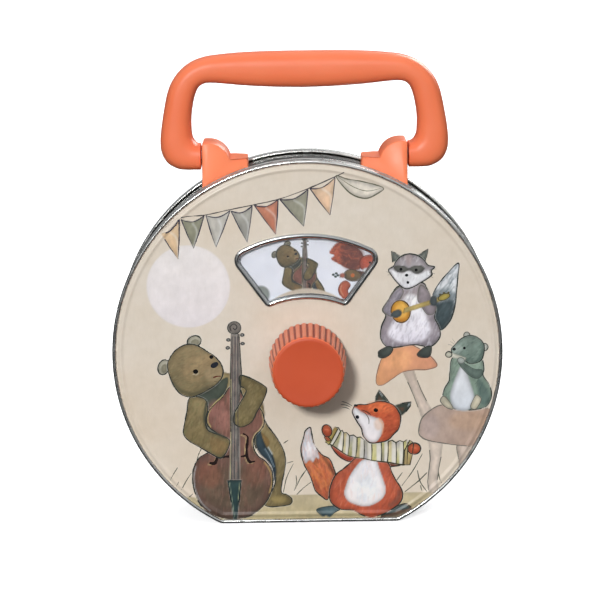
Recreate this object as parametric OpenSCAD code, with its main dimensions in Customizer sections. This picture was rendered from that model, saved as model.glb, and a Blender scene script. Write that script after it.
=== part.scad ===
// Wind-up musical tin: round flat-based tinplate case, fan-shaped window over a turning picture disc,
// ribbed winding knob, fold-down handle and a comb-and-cylinder movement inside.
// Millimetres. +Z up, base on z = 0. The knob points to -Y. The case mid-plane is at y = mid_y, so
// that the whole row, knob included, is centred on the origin.

/* [Case] */
// Outside radius of the round case
case_r = 80; // [79.8:0.1:80.2]
// Sheet thickness of the covers
sheet = 0.5; // [0.4:0.05:0.6]
// Width of each cover's skirt
skirt = 8; // [7:0.5:8.5]
// Radius of the rolled bead at the edge of each cover
bead_r = 0.8; // [0.7:0.05:0.8]

/* [Knob] */
// Number of grip ribs
knob_ribs = 36; // [24:1:40]
// Radius over the ribs at the back of the knob
knob_back_r = 16; // [15.5:0.1:16.5]
// Radius over the ribs at the front of the knob
knob_front_r = 14.7; // [14.2:0.1:15]

/* [Handle] */
// Depth of the handle arms, front to back
arm_depth = 15.4; // [15.3:0.1:16]
// Thickness of the grip at its middle
grip_d = 15.2; // [14.5:0.1:15.2]

/* [Movement] */
// Number of note pins in each ring of the music cylinder
pins_in_ring = 5; // [3:1:7]
// Number of notes on the comb
comb_teeth = 14; // [10:1:14]

/* [Hidden] */

$fn = 64;
fine = 0.01;                  // overlap that keeps a cut from ending on a shared plane

orange = [0.93, 0.42, 0.25];
cream = [0.83, 0.79, 0.74];
steel = [0.72, 0.72, 0.72];
brass = [0.78, 0.62, 0.32];

// case
half_depth = 22;              // case mid-plane to the crest of each bead
mid_y = 12.25;                // shift that centres the row from knob front to case back
case_z = 71;                  // height of the round wall's centre above the base
face_v = half_depth - bead_r; // outer side of the printed face, measured from the mid-plane
corner_x = sqrt(pow(case_r, 2) - pow(case_z, 2)); // where the round wall meets the flat base
mitre = (case_r - case_z) / corner_x; // how far the mitre at that corner leans in for each mm up
mitre_lap = 0.15;             // the flat's section runs this far past the mitre
hem_r = 0.55;
skirt_v = face_v - skirt;
band_in = 1.3;                // side band set in from the covers' outside
band_t = 0.45;
rib_in = 3.4;                 // embossed ring on the face, set in from the outside
rib_rise = 0.35;
plate_in = 1.2;               // edge of the face sheet, inside the skirt and under the bead

// window: two arcs, two straight sides and four rounded corners
win_outer_z = 62;
win_outer_r = 59;
win_inner_z = 53.8;
win_inner_r = 40;
win_side_a = 36;
win_side_at = [23.1, 100];
win_top_corner = 5;
win_low_corner = 2.6;
bezel_lip = 2.0;
bezel_neck_out = 1.05;
bezel_neck_in = 1.65;

// knob and shaft
axis_z = 68.5;
shaft_r = 2.0;
run_fit = 0.05;
knob_back_v = 22.2;
knob_front_v = 46.5;
rib_bar_r = 0.62;
disc_r = 55;
disc_v = 17.5;
disc_t = 1.0;

// movement: y layers are measured from the case mid-plane, positive to the back
carrier_y = -11;
carrier_t = 1.5;
bed_y = -9.5;
bed_t = 3;
works_y = bed_y + bed_t;
bridge_y = 15.2;
bridge_t = 1.2;
back_in_y = face_v - sheet;
cyl_x = 22.5;
gov_z = axis_z - 10;
fly_z = gov_z - 8;
arbor_r = 1.0;
thin_arbor_r = 0.6;
train_y = [9.3, 11.8, 13.6];
train_t = [1.8, 1.2, 0.8];
wheel_m = [0.75, 0.5, 0.4];
drum_r = 6.5;
drum_y = [-5.5, 8.5];
pin_r = 0.25;
pin_rise = 0.8;
tip_x = cyl_x + drum_r + pin_rise + 0.5;

// handle
hinge_z = 150.3;
pin_hinge_r = 3.0;
foot_x = 42.6;
bracket_x = [23.3, 30.4, 42.0];
bracket_half = 11;
bracket_top = 157;
bracket_low = 150.5;
screw_a = 24.5;
screw_y = 6.5;

// ---------- helpers ----------
module at_mid() {
    translate([0, mid_y, 0]) children();
}
// flat shape in X and Z, extruded over v0 to v1 towards the knob
module plate(v0, v1) {
    at_mid() translate([0, -v0, 0]) rotate([90, 0, 0]) linear_extrude(v1 - v0) children();
}
// round bar along Y, from y0 to y1 behind the case mid-plane
module bar(x, z, r, y0, y1) {
    at_mid() translate([x, y1, z]) rotate([90, 0, 0]) cylinder(r = r, h = y1 - y0);
}
// turned profile about the Y axis at x, z: radius and distance towards the knob
module turned(x, z) {
    at_mid() translate([x, 0, z]) rotate([90, 0, 0]) rotate_extrude() children();
}
// everything over the flat base between the two corner mitres, plus e at each side
module over_flat(e) {
    low = -12;
    high = 9;
    plate(-half_depth - 5, half_depth + 5) polygon([
        [-corner_x + mitre * low - e, low], [corner_x - mitre * low + e, low],
        [corner_x - mitre * high + e, high], [-corner_x + mitre * high - e, high]]);
}
// section (distance in from the outside, distance towards the knob) run round the case outline
module round_case() {
    difference() {
        at_mid() translate([0, 0, case_z]) rotate([90, 0, 0]) rotate_extrude($fn = 240)
            translate([case_r, 0]) mirror([1, 0]) children();
        over_flat(0);
    }
    intersection() {
        at_mid() rotate([90, 0, 0]) translate([-corner_x - 2, 0, 0]) rotate([90, 0, 90])
            linear_extrude(2 * corner_x + 4) children();
        over_flat(mitre_lap);
    }
}
function arc(c, r, a0, a1, n) = [for (i = [0:n]) let(a = a0 + (a1 - a0) * i / n) [c[0] + r * cos(a), c[1] + r * sin(a)]];
function case_points(d) = let(a = asin((d - case_z) / (case_r - d))) arc([0, case_z], case_r - d, a, 180 - a, 150);
// window outline set in by d
side_dir = [sin(win_side_a), cos(win_side_a)];
side_in = [-cos(win_side_a), sin(win_side_a)];
function along(w, r, s) = let(b = w * side_dir) -b + s * sqrt(b * b - w * w + r * r);
function corner_at(c, r, k) = let(p = win_side_at + side_in * k) p + side_dir * along(p - c, r, 1);
top_c = corner_at([0, win_outer_z], win_outer_r - win_top_corner, win_top_corner);
low_c = corner_at([0, win_inner_z], win_inner_r + win_low_corner, win_low_corner);
top_a = atan2(top_c[1] - win_outer_z, top_c[0]);
low_a = atan2(low_c[1] - win_inner_z, low_c[0]);
function half_window(d) = concat(
    arc([0, win_inner_z], win_inner_r + d, 90, low_a, 14),
    arc(low_c, win_low_corner - d, low_a - 180, -win_side_a, 10),
    arc(top_c, win_top_corner - d, -win_side_a, top_a, 12),
    arc([0, win_outer_z], win_outer_r - d, top_a, 90, 18));
function flip(p) = [for (i = [len(p) - 2:-1:1]) [-p[i][0], p[i][1]]];
module window(d) {
    polygon(concat(half_window(d), flip(half_window(d))));
}
module window_ring(d0, d1) {
    difference() {
        window(d0);
        window(d1);
    }
}

// ---------- case ----------
module cover_section() {
    translate([0, skirt_v]) square([sheet, skirt]);
    translate([bead_r, face_v]) circle(bead_r, $fn = 12);
    translate([bead_r, face_v - sheet]) square([1.2, sheet]);
    translate([hem_r, skirt_v]) circle(hem_r, $fn = 12);
    translate([rib_in, face_v - sheet]) polygon([[-1.6, 0], [1.6, 0], [1.3, sheet], [0.5, sheet + rib_rise],
                                                 [-0.5, sheet + rib_rise], [-1.3, sheet]]);
}
module cover_shell() {
    round_case() cover_section();
}
module face_sheet() {
    polygon(case_points(plate_in));
}
module front_cover() color(cream) {
    cover_shell();
    plate(face_v - sheet, face_v) difference() {
        face_sheet();
        window(1.0);
        translate([0, axis_z]) circle(bush_r);
    }
}
bush_r = 3.4;
foot_l = -28;
foot_r = 61;
foot_zs = [84, 54];
module carrier_holes(r) {
    for (z = foot_zs) translate([foot_l, z]) circle(r, $fn = 24);
    translate([foot_r, axis_z]) circle(r, $fn = 24);
}
module back_cover() color(cream) {
    translate([0, 2 * mid_y, 0]) mirror([0, 1, 0]) {
        cover_shell();
        plate(face_v - sheet, face_v) difference() {
            face_sheet();
            carrier_holes(1.25);
        }
    }
}
module side_band() color(steel) {
    difference() {
        round_case() translate([band_in, -skirt_v - 6]) square([band_t, 2 * (skirt_v + 6)]);
        bracket_screw_set() cylinder(r = 1.5, h = 12, $fn = 24);
    }
}
// ---------- window ----------
module window_bezel() color(steel) {
    plate(face_v, face_v + 0.45) window_ring(0, bezel_lip);
    plate(face_v, face_v + 0.8) window_ring(0.35, bezel_lip - 0.35);
    plate(face_v - 1.6, face_v + 0.4) window_ring(bezel_neck_out, bezel_neck_in);
    plate(face_v - 1.6, face_v - 1.3) window_ring(bezel_neck_out, 2.35);
}
module window_lens() color([0.9, 0.95, 0.97, 0.35]) {
    plate(face_v - 1.2, face_v - 0.1) window(1.75);
}
module shaft_bushing() color(brass) {
    turned(0, axis_z) translate([shaft_r + run_fit, 0]) {
        translate([0, face_v - 2]) square([bush_r - shaft_r - run_fit, 2.4]);
        translate([0, face_v]) square([3.4, 0.4]);
        translate([0, face_v - sheet - 0.4]) square([3, 0.4]);
    }
}

// ---------- brackets ----------
// screw axes, radial to the case wall: z runs outwards from the wall's centre
module bracket_screw_set() {
    for (s = [-1, 1], y = [-screw_y, screw_y])
        at_mid() translate([0, y, case_z]) rotate([0, s * screw_a, 0]) translate([0, 0, 74]) children();
}
module bracket_face() {
    difference() {
        union() {
            translate([bracket_x[0], 130]) square([bracket_x[2] - bracket_x[0], bracket_low - 130]);
            translate([bracket_x[1] + 9, 130]) square([bracket_x[2] - bracket_x[1] - 9, bracket_top - 130]);
            translate([bracket_x[1], 130]) square([10, bracket_top - 9 - 130]);
            translate([bracket_x[1] + 9, bracket_top - 9]) circle(9, $fn = 96);
        }
        translate([bracket_x[2], 100]) square([30, 80]);
        translate([0, case_z]) circle(case_r - band_in + 0.02, $fn = 240);
    }
}
module bracket_plan() {
    k = 4.5;
    translate([bracket_x[0] + k, -bracket_half]) square([bracket_x[2] - bracket_x[0] - k, 2 * bracket_half]);
    translate([bracket_x[0], -bracket_half + k]) square([k + 1, 2 * (bracket_half - k)]);
    for (s = [-1, 1]) translate([bracket_x[0] + k, s * (bracket_half - k)]) circle(k, $fn = 64);
}
module bracket_side() {
    k = 2.5;
    translate([-bracket_half, 130]) square([2 * bracket_half, bracket_top - k - 130]);
    translate([-bracket_half + k, 130]) square([2 * (bracket_half - k), bracket_top - 130]);
    for (s = [-1, 1]) translate([s * (bracket_half - k), bracket_top - k]) circle(k, $fn = 48);
}
module right_bracket_solid() {
    difference() {
        intersection() {
            plate(-bracket_half, bracket_half) bracket_face();
            at_mid() translate([0, 0, 130]) linear_extrude(40) bracket_plan();
            at_mid() rotate([90, 0, 90]) linear_extrude(60) bracket_side();
        }
        at_mid() translate([31.4, 0, hinge_z]) rotate([0, 90, 0]) cylinder(r = pin_hinge_r + run_fit, h = 14, $fn = 64);
        for (y = [-screw_y, screw_y])
            at_mid() translate([0, y, case_z]) rotate([0, screw_a, 0]) translate([0, 0, 74])
                cylinder(r = 1.5, h = 11, $fn = 24);
    }
}
module right_bracket() color(orange) {
    right_bracket_solid();
}
module left_bracket() color(orange) {
    mirror([1, 0, 0]) right_bracket_solid();
}
module bracket_washers() color(steel) {
    difference() {
        for (s = [-1, 1])
            at_mid() translate([0, 0, case_z]) rotate([0, s * screw_a, 0]) translate([-5, -10, 76.2]) cube([10, 20, 1.2]);
        bracket_screw_set() cylinder(r = 1.5, h = 12, $fn = 24);
    }
}
module bracket_screws() color(steel) {
    bracket_screw_set() {
        cylinder(r = 1.5, h = 10.5, $fn = 24);
        translate([0, 0, 0.6]) difference() {
            cylinder(r = 2.8, h = 1.6, $fn = 32);
            translate([-3, -0.3, -fine]) cube([6, 0.6, 0.7]);
        }
    }
}

// ---------- movement frame ----------
carrier_x = [-22, 56];
module carrier_outline() {
    translate([carrier_x[0], 40]) square([carrier_x[1] - carrier_x[0], 50]);
}
bed_holes = [[-13, 82], [-13, 50], [50, 82], [50, 50]];
module movement_carrier() color(steel) {
    plate(-carrier_y - carrier_t, -carrier_y) difference() {
        carrier_outline();
        translate([0, axis_z]) circle(5);
        translate([cyl_x, axis_z]) circle(4);
        for (p = bed_holes) translate(p) circle(1.5, $fn = 24);
    }
    plate(-back_in_y, -carrier_y) {
        translate([carrier_x[0], 46]) square([carrier_t, 46 - 2]);
        translate([carrier_x[1] - carrier_t, 60]) square([carrier_t, 17]);
    }
    plate(-back_in_y, -back_in_y + carrier_t) difference() {
        union() {
            translate([carrier_x[0] - 12, 46]) square([12 + carrier_t, 44]);
            translate([carrier_x[1] - carrier_t, 60]) square([12, 17]);
        }
        carrier_holes(1.25);
    }
}
module carrier_screws() color(steel) {
    plate(-face_v, -back_in_y + carrier_t + 1.5) carrier_holes(1.25);
    difference() {
        for (p = [[foot_l, foot_zs[0]], [foot_l, foot_zs[1]], [foot_r, axis_z]])
            turned(p[0], p[1]) intersection() {
                translate([0, -face_v + 4.2]) circle(4.9, $fn = 64);
                translate([0, -face_v - 2]) square([2.4, 2]);
            }
        for (p = [[foot_l, foot_zs[0]], [foot_l, foot_zs[1]], [foot_r, axis_z]])
            at_mid() translate([p[0], face_v + 0.7, p[1]]) {
                cube([3.2, 0.7, 0.55], center = true);
                cube([0.55, 0.7, 3.2], center = true);
            }
    }
}
module bedplate() color(brass) {
    plate(-works_y, -bed_y) difference() {
        translate([-17, 46]) square([71, 40]);
        translate([0, axis_z]) circle(shaft_r + run_fit);
        translate([cyl_x, axis_z]) circle(arbor_r + run_fit, $fn = 32);
        for (z = [gov_z, fly_z]) translate([cyl_x, z]) circle(thin_arbor_r + run_fit, $fn = 24);
        for (p = bed_holes) translate(p) circle(1.5, $fn = 24);
    }
}
module bedplate_screws() color(steel) {
    for (p = bed_holes) {
        bar(p[0], p[1], 1.5, carrier_y, works_y - 0.3);
        difference() {
            bar(p[0], p[1], 2.8, carrier_y - 1.4, carrier_y);
            at_mid() translate([p[0], carrier_y - 1.4, p[1]]) cube([6, 1.2, 0.6], center = true);
        }
    }
}
pillar_at = [[-16, 83], [-16, 50], [34, 83], [34, 49]];
module bridge_plate() color(brass) {
    plate(-bridge_y - bridge_t, -bridge_y) difference() {
        translate([-20, 45]) square([58, 42]);
        translate([0, axis_z]) circle(shaft_r + run_fit);
        translate([cyl_x, axis_z]) circle(arbor_r + run_fit, $fn = 32);
        for (z = [gov_z, fly_z]) translate([cyl_x, z]) circle(thin_arbor_r + run_fit, $fn = 24);
        for (p = pillar_at) translate(p) circle(1.0, $fn = 24);
    }
}
module bridge_pillars() color(steel) {
    for (p = pillar_at) difference() {
        bar(p[0], p[1], 2.2, works_y, bridge_y);
        bar(p[0], p[1], 1.0, bridge_y - 4, bridge_y + 1);
    }
}
module bridge_screws() color(steel) {
    for (p = pillar_at) {
        bar(p[0], p[1], 1.0, bridge_y - 3.5, bridge_y + bridge_t);
        difference() {
            bar(p[0], p[1], 2.0, bridge_y + bridge_t, bridge_y + bridge_t + 1.2);
            at_mid() translate([p[0], bridge_y + bridge_t + 1.2, p[1]]) cube([5, 1.0, 0.5], center = true);
        }
    }
}
module spring_housing() color(brass) {
    turned(0, axis_z) {
        translate([2.8, -works_y - 1]) square([11.2, 1]);
        translate([13.2, -8.5]) square([0.8, 8.5 - works_y]);
        translate([5.0, -8.5]) square([9, 0.8]);
    }
}
spring_in = 4.6;
spring_out = 12.9;
spring_turns = 6;
function spiral(k) = [for (i = [0:8 * 12]) let(t = i / 96, a = 360 * spring_turns * t, r = spring_in + (spring_out - spring_in) * t + k)
    [r * cos(a), r * sin(a)]];
function backwards(p) = [for (i = [len(p) - 1:-1:0]) p[i]];
module mainspring() color(steel) {
    plate(-6.8, -works_y - 1.6) translate([0, axis_z]) polygon(concat(spiral(0), backwards(spiral(0.3))));
}
// ---------- comb ----------
module comb() color(steel) {
    difference() {
        at_mid() translate([tip_x, drum_y[0], axis_z - 0.5]) cube([49 - tip_x, drum_y[1] - drum_y[0], 1]);
        for (i = [1:comb_teeth - 1])
            at_mid() translate([tip_x - 1, drum_y[0] + i * (drum_y[1] - drum_y[0]) / comb_teeth - 0.12, axis_z - 1])
                cube([9 - 4 * i / comb_teeth, 0.24, 2]);
        comb_screw_set() cylinder(r = 1.25, h = 20, $fn = 24);
    }
}
module comb_screw_set() {
    for (y = [-3, 1.5, 6]) at_mid() translate([45.5, y, axis_z - 8]) children();
}
module comb_base() color(brass) {
    difference() {
        at_mid() translate([42, works_y, axis_z - 8.5]) cube([8, drum_y[1] - works_y, 8]);
        comb_screw_set() cylinder(r = 1.25, h = 20, $fn = 24);
    }
}
module comb_screws() color(steel) {
    comb_screw_set() {
        cylinder(r = 1.25, h = 8.6, $fn = 24);
        translate([0, 0, 8.5]) difference() {
            cylinder(r = 2.1, h = 1.4, $fn = 32);
            translate([-3, -0.25, 0.8]) cube([6, 0.5, 1]);
        }
    }
}

// ---------- gears ----------
pressure = 25;
addendum = 0.75;
dedendum = 1.05;
flank = 3;
function inv(a) = tan(a) * 180 / PI - a;
function tooth(n, m, back, c) = let(
    rp = n * m / 2, rb = rp * cos(pressure), ra = rp + addendum * m, rr = rp - dedendum * m,
    r0 = max(rb, rr), h = (PI * m / 2 - back) / (2 * rp) * 180 / PI + inv(pressure),
    rs = [for (i = [0:flank]) r0 + (ra - r0) * i / flank],
    t = [for (r = rs) h - inv(acos(min(1, rb / r)))])
    concat(
        rr < r0 ? [[rr * cos(c - t[0]), rr * sin(c - t[0])]] : [],
        [for (i = [0:flank]) [rs[i] * cos(c - t[i]), rs[i] * sin(c - t[i])]],
        [for (i = [flank:-1:0]) [rs[i] * cos(c + t[i]), rs[i] * sin(c + t[i])]],
        rr < r0 ? [[rr * cos(c + t[0]), rr * sin(c + t[0])]] : []);
function teeth(n, m, back, start) = [for (k = [0:n - 1]) each tooth(n, m, back, start + 360 * k / n)];
module gear(x, z, layer, n, back, start, bore) {
    y0 = train_y[layer];
    plate(-y0 - train_t[layer], -y0) translate([x, z]) difference() {
        polygon(teeth(n, wheel_m[layer], back, start));
        circle(bore, $fn = 32);
        if (n > 20) for (k = [0:4]) rotate(72 * k + 20) translate([n * wheel_m[layer] * 0.3, 0])
            circle(n * wheel_m[layer] * 0.11, $fn = 32);
    }
}

// ---------- knob body ----------
module knob() color(orange) {
    lean = atan((knob_back_r - knob_front_r) / (knob_front_v - knob_back_v));
    core_back = knob_back_r - rib_bar_r;
    core_front = knob_front_r - rib_bar_r;
    turned(0, axis_z) {
        difference() {
            union() {
                polygon([[0, knob_back_v], [core_back, knob_back_v], [core_front, knob_front_v - 1.2],
                         [core_front - 0.8, knob_front_v], [0, knob_front_v]]);
            }
            polygon([[-1, knob_back_v - 1], [core_back - 1.8, knob_back_v - 1],
                     [core_front - 1.8, knob_front_v - 3.2], [-1, knob_front_v - 3.2]]);
        }
        translate([shaft_r, knob_back_v]) square([3, knob_front_v - knob_back_v - 2]);
        translate([0, knob_front_v - 4.5]) square([4, 3]);
    }
    for (k = [0:3]) at_mid() translate([0, -knob_back_v, axis_z]) rotate([90, 90 * k + 45, 0])
        translate([4.2, -0.6, 4]) cube([9.3, 1.2, knob_front_v - knob_back_v - 6]);
    for (k = [0:knob_ribs - 1])
        at_mid() translate([0, -knob_back_v, axis_z]) rotate([90, 360 / knob_ribs * k, 0])
            translate([core_back, 0, 0]) rotate([0, -lean, 0])
                cylinder(r = rib_bar_r, h = knob_front_v - knob_back_v - 1.4, $fn = 16);
}
module winding_shaft() color(steel) {
    bar(0, axis_z, shaft_r, -knob_front_v + 4.5, bridge_y + bridge_t + 0.8);
    bar(0, axis_z, 4.2, works_y + 1.4, 7.2);
}
module picture_disc() color([0.86, 0.89, 0.93]) {
    turned(0, axis_z) translate([shaft_r, disc_v]) square([disc_r - shaft_r, disc_t]);
}
module disc_hub() color(brass) {
    turned(0, axis_z) {
        translate([shaft_r, disc_v - 4]) square([3, 4]);
        translate([shaft_r, disc_v - 1.2]) square([7, 1.2]);
    }
}
module great_wheel() color(brass) {
    gear(0, axis_z, 0, 48, 0.12, 0, shaft_r);
}
// ---------- train ----------
module music_cylinder() color(brass) {
    bar(cyl_x, axis_z, arbor_r, bed_y + 0.3, bridge_y + bridge_t + 0.4);
    bar(cyl_x, axis_z, drum_r, drum_y[0], drum_y[1]);
    ring = (drum_y[1] - drum_y[0]) / comb_teeth;
    for (i = [0:comb_teeth - 1], k = [0:pins_in_ring - 1])
        at_mid() translate([cyl_x, drum_y[0] + ring * (i + 0.5), axis_z])
            rotate([0, (i * 137 + k * (360 / pins_in_ring) + 11 * ((i * k) % 4)) % 360, 0])
                translate([0, 0, drum_r - 1]) cylinder(r = pin_r, h = 1 + pin_rise, $fn = 16);
}
module cylinder_pinion() color(steel) {
    gear(cyl_x, axis_z, 0, 12, 0.12, 180 + 15, arbor_r);
}
module cylinder_wheel() color(brass) {
    gear(cyl_x, axis_z, 1, 30, 0.1, -90, arbor_r);
}
module governor_arbor() color(steel) {
    bar(cyl_x, gov_z, thin_arbor_r, bed_y + 0.3, bridge_y + bridge_t + 0.3);
}
module governor_pinion() color(steel) {
    gear(cyl_x, gov_z, 1, 10, 0.1, 90 + 18, thin_arbor_r);
}
module governor_wheel() color(brass) {
    gear(cyl_x, gov_z, 2, 30, 0.08, -90, thin_arbor_r);
}
module fly_arbor() color(steel) {
    bar(cyl_x, fly_z, thin_arbor_r, bed_y + 0.3, bridge_y + bridge_t + 0.3);
    bar(cyl_x, fly_z, 1.3, -1, 11);
    for (s = [-1, 1])
        at_mid() translate([cyl_x + s * 3.4, 5, fly_z]) cube([4.6, 10, 0.6], center = true);
}
module fly_pinion() color(steel) {
    gear(cyl_x, fly_z, 2, 10, 0.08, 90 + 18, thin_arbor_r);
}

// ---------- handle ----------
module soft_bar(w, d, k) {
    translate([-w / 2 + k, -d / 2]) square([w - 2 * k, d]);
    translate([-w / 2, -d / 2 + k]) square([w, d - 2 * k]);
    for (sx = [-1, 1], sy = [-1, 1]) translate([sx * (w / 2 - k), sy * (d / 2 - k)]) circle(k, $fn = 48);
}
elbow = [40.8, 175.8];
elbow_in = 4.5;
elbow_out = 16;
heel = [49.3, 155.3];
heel_r = 10;
foot_h = 10.4;
edge_k = 3.6;
grip_z = elbow[1] + (elbow_in + elbow_out) / 2;
// leaning bar through the points p (low) and q (high) on its centre line
module arm_bar(p, q, w, d) {
    translate([p[0], 0, p[1]]) rotate([0, atan2(q[0] - p[0], q[1] - p[1]), 0])
        linear_extrude(norm(q - p)) soft_bar(w, d, edge_k);
}
module handle_half() {
    elbow_w = elbow_out - elbow_in;
    at_mid() {
        // outer and inner lines of the arm
        arm_bar([54.25, 154.0], [51.7, 177.3], 9.3, arm_depth - 0.2);
        arm_bar([51.05, 154.4], [50.25, 177.0], 9.2, arm_depth - 0.4);
        // top corner
        translate([elbow[0], 0, elbow[1]]) rotate([90, 0, 0]) rotate_extrude(angle = 90, $fn = 96)
            translate([(elbow_in + elbow_out) / 2, 0]) soft_bar(elbow_w, arm_depth, edge_k);
        // half of the grip
        translate([0, 0, grip_z]) rotate([90, 0, 90]) linear_extrude(elbow[0]) rotate(90) soft_bar(elbow_w, arm_depth, edge_k);
        // heel and foot
        translate([heel[0], 0, heel[1]]) rotate([90, 0, 0]) rotate([0, 0, -90]) rotate_extrude(angle = 90, $fn = 96)
            intersection() {
                soft_bar(2 * heel_r, arm_depth, edge_k);
                translate([0, -10]) square([20, 20]);
            }
        translate([foot_x, 0, heel[1] - heel_r + foot_h / 2]) rotate([90, 0, 90]) linear_extrude(heel[0] - foot_x)
            rotate(90) soft_bar(foot_h, arm_depth, edge_k);
        translate([0, 4, 0]) rotate([90, 0, 0]) linear_extrude(8) difference() {
            translate([43.4, 155]) square([5, 5.6]);
            translate([42.2, 160.1]) circle(4.2, $fn = 64);
        }
    }
}
grip_end_r = 5.5;
grip_rise = grip_d / 2 - grip_end_r;
grip_arc = (pow(elbow[0], 2) + pow(grip_rise, 2)) / (2 * grip_rise);
module handle_solid() {
    handle_half();
    mirror([1, 0, 0]) handle_half();
    at_mid() translate([0, 0, grip_z]) rotate([0, 90, 0]) rotate_extrude($fn = 96)
        intersection() {
            translate([grip_d / 2 - grip_arc, 0]) circle(grip_arc, $fn = 360);
            translate([0, -elbow[0]]) square([grip_d, 2 * elbow[0]]);
        }
}
module hinge_pin(s) {
    at_mid() translate([s > 0 ? 32 : -49, 0, hinge_z]) rotate([0, 90, 0]) cylinder(r = pin_hinge_r, h = 17, $fn = 64);
}
module handle() color(orange) {
    difference() {
        handle_solid();
        hinge_pin(1);
        hinge_pin(-1);
    }
}
module left_hinge_pin() color(steel) {
    hinge_pin(-1);
}
module right_hinge_pin() color(steel) {
    hinge_pin(1);
}

front_cover();
back_cover();
side_band();
window_bezel();
window_lens();
shaft_bushing();
left_bracket();
right_bracket();
bracket_washers();
bracket_screws();
movement_carrier();
carrier_screws();
bedplate();
bedplate_screws();
bridge_plate();
bridge_pillars();
bridge_screws();
spring_housing();
mainspring();
comb();
comb_base();
comb_screws();
knob();
winding_shaft();
picture_disc();
disc_hub();
great_wheel();
music_cylinder();
cylinder_pinion();
cylinder_wheel();
governor_arbor();
governor_pinion();
governor_wheel();
fly_arbor();
fly_pinion();
handle();
left_hinge_pin();
right_hinge_pin();
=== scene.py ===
import math

import bmesh
import bpy
import numpy as np
from mathutils import Matrix, Vector


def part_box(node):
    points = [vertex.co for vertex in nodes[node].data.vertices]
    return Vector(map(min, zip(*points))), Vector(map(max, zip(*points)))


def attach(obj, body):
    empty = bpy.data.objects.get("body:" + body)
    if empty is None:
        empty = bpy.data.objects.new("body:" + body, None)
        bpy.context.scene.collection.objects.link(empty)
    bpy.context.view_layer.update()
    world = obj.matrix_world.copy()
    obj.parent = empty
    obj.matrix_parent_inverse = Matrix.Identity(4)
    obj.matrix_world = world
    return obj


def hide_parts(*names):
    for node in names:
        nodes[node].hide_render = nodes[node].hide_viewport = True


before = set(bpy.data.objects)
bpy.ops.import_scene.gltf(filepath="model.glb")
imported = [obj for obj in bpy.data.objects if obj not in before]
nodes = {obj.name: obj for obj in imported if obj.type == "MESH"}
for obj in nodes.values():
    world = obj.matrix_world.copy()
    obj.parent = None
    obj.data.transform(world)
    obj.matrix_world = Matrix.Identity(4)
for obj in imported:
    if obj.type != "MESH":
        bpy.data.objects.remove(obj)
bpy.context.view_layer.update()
scene = bpy.context.scene

# ------------------------------------------------------------------ measures (metres unless named mm)
MM = 0.001
face_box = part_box("front_cover")
back_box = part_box("back_cover")
MID_Y = (face_box[0][1] + back_box[1][1]) / 2          # case mid-plane
HALF = (back_box[1][1] - face_box[0][1]) / 2 / MM      # mid-plane to the bead's crest, mm
R = (face_box[1][0] - face_box[0][0]) / 2 / MM         # outside radius, mm
TOP = face_box[1][2] / MM
CZ = TOP - R                                           # height of the round wall's centre, mm
BEAD = 0.8
FACE = HALF - BEAD                                     # printed face, mm in front of the mid-plane
knob_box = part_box("knob")
AXIS_Z = (knob_box[0][2] + knob_box[1][2]) / 2 / MM


def at(x, v, z):
    """mm: across, in front of the case mid-plane, up -> metres"""
    return (x * MM, MID_Y - v * MM, z * MM)


# ------------------------------------------------------------------ camera and stage
CAMERA_TARGET = (-0.0027, MID_Y, 0.0898)
CAMERA_AZ, CAMERA_EL, CAMERA_ROLL = -0.18, 10.09, -0.79          # degrees
CAMERA_AWAY = 1.0
CAMERA_LENS, CAMERA_SENSOR = 143.87, 36                          # mm
FLOOR_HALF, SWEEP_Y, SWEEP_R, SWEEP_TOP = 2.5, 0.9, 0.6, 2.6     # floor, and its sweep up behind the object
WALL_R, WALL_TOP, GROUND_HALF, GROUND_Z = 4.0, 5.0, 4.2, -0.02   # pale room round it all


def camera():
    cam = bpy.data.cameras.new("camera")
    ob = bpy.data.objects.new("camera", cam)
    scene.collection.objects.link(ob)
    az, el, roll = math.radians(CAMERA_AZ), math.radians(CAMERA_EL), math.radians(CAMERA_ROLL)
    away = Vector((math.sin(az) * math.cos(el), -math.cos(az) * math.cos(el), math.sin(el)))
    forward = -away
    right = forward.cross(Vector((0, 0, 1))).normalized()
    up = right.cross(forward)
    right_rolled = right * math.cos(roll) + up * math.sin(roll)
    up_rolled = -right * math.sin(roll) + up * math.cos(roll)
    m = Matrix((right_rolled, up_rolled, away)).transposed().to_4x4()
    m.translation = Vector(CAMERA_TARGET) + away * CAMERA_AWAY
    ob.matrix_world = m
    cam.sensor_width = CAMERA_SENSOR
    cam.lens = CAMERA_LENS
    cam.clip_start = 0.05
    scene.camera = ob


def area(name, loc, look, size, power):
    """a square lamp at loc, turned to look"""
    lamp = bpy.data.lights.new(name, "AREA")
    lamp.size = size
    lamp.energy = power
    ob = bpy.data.objects.new(name, lamp)
    scene.collection.objects.link(ob)
    ob.location = loc
    ob.rotation_euler = (Vector(look) - Vector(loc)).to_track_quat("-Z", "Y").to_euler()


def floor_material():
    """pale and faintly glowing, so that the ground stays plain"""
    mat = bpy.data.materials.new("floor")
    mat.use_nodes = True
    b = mat.node_tree.nodes["Principled BSDF"]
    b.inputs["Base Color"].default_value = (0.9, 0.9, 0.9, 1)
    b.inputs["Roughness"].default_value = 0.9
    b.inputs["Specular IOR Level"].default_value = 0.1
    b.inputs["Emission Color"].default_value = (1, 1, 1, 1)
    b.inputs["Emission Strength"].default_value = 0.6
    return mat


def sheet_of(name, rows, mat):
    """a stage surface through rows of points"""
    bm = bmesh.new()
    grid = [[bm.verts.new(p) for p in row] for row in rows]
    for a, b in zip(grid, grid[1:]):
        for k in range(len(a) - 1):
            bm.faces.new((a[k], a[k + 1], b[k + 1], b[k]))
    me = bpy.data.meshes.new(name)
    bm.to_mesh(me)
    bm.free()
    for p in me.polygons:
        p.use_smooth = True
    me.materials.append(mat)
    ob = bpy.data.objects.new(name, me)
    scene.collection.objects.link(ob)
    return ob


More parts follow.
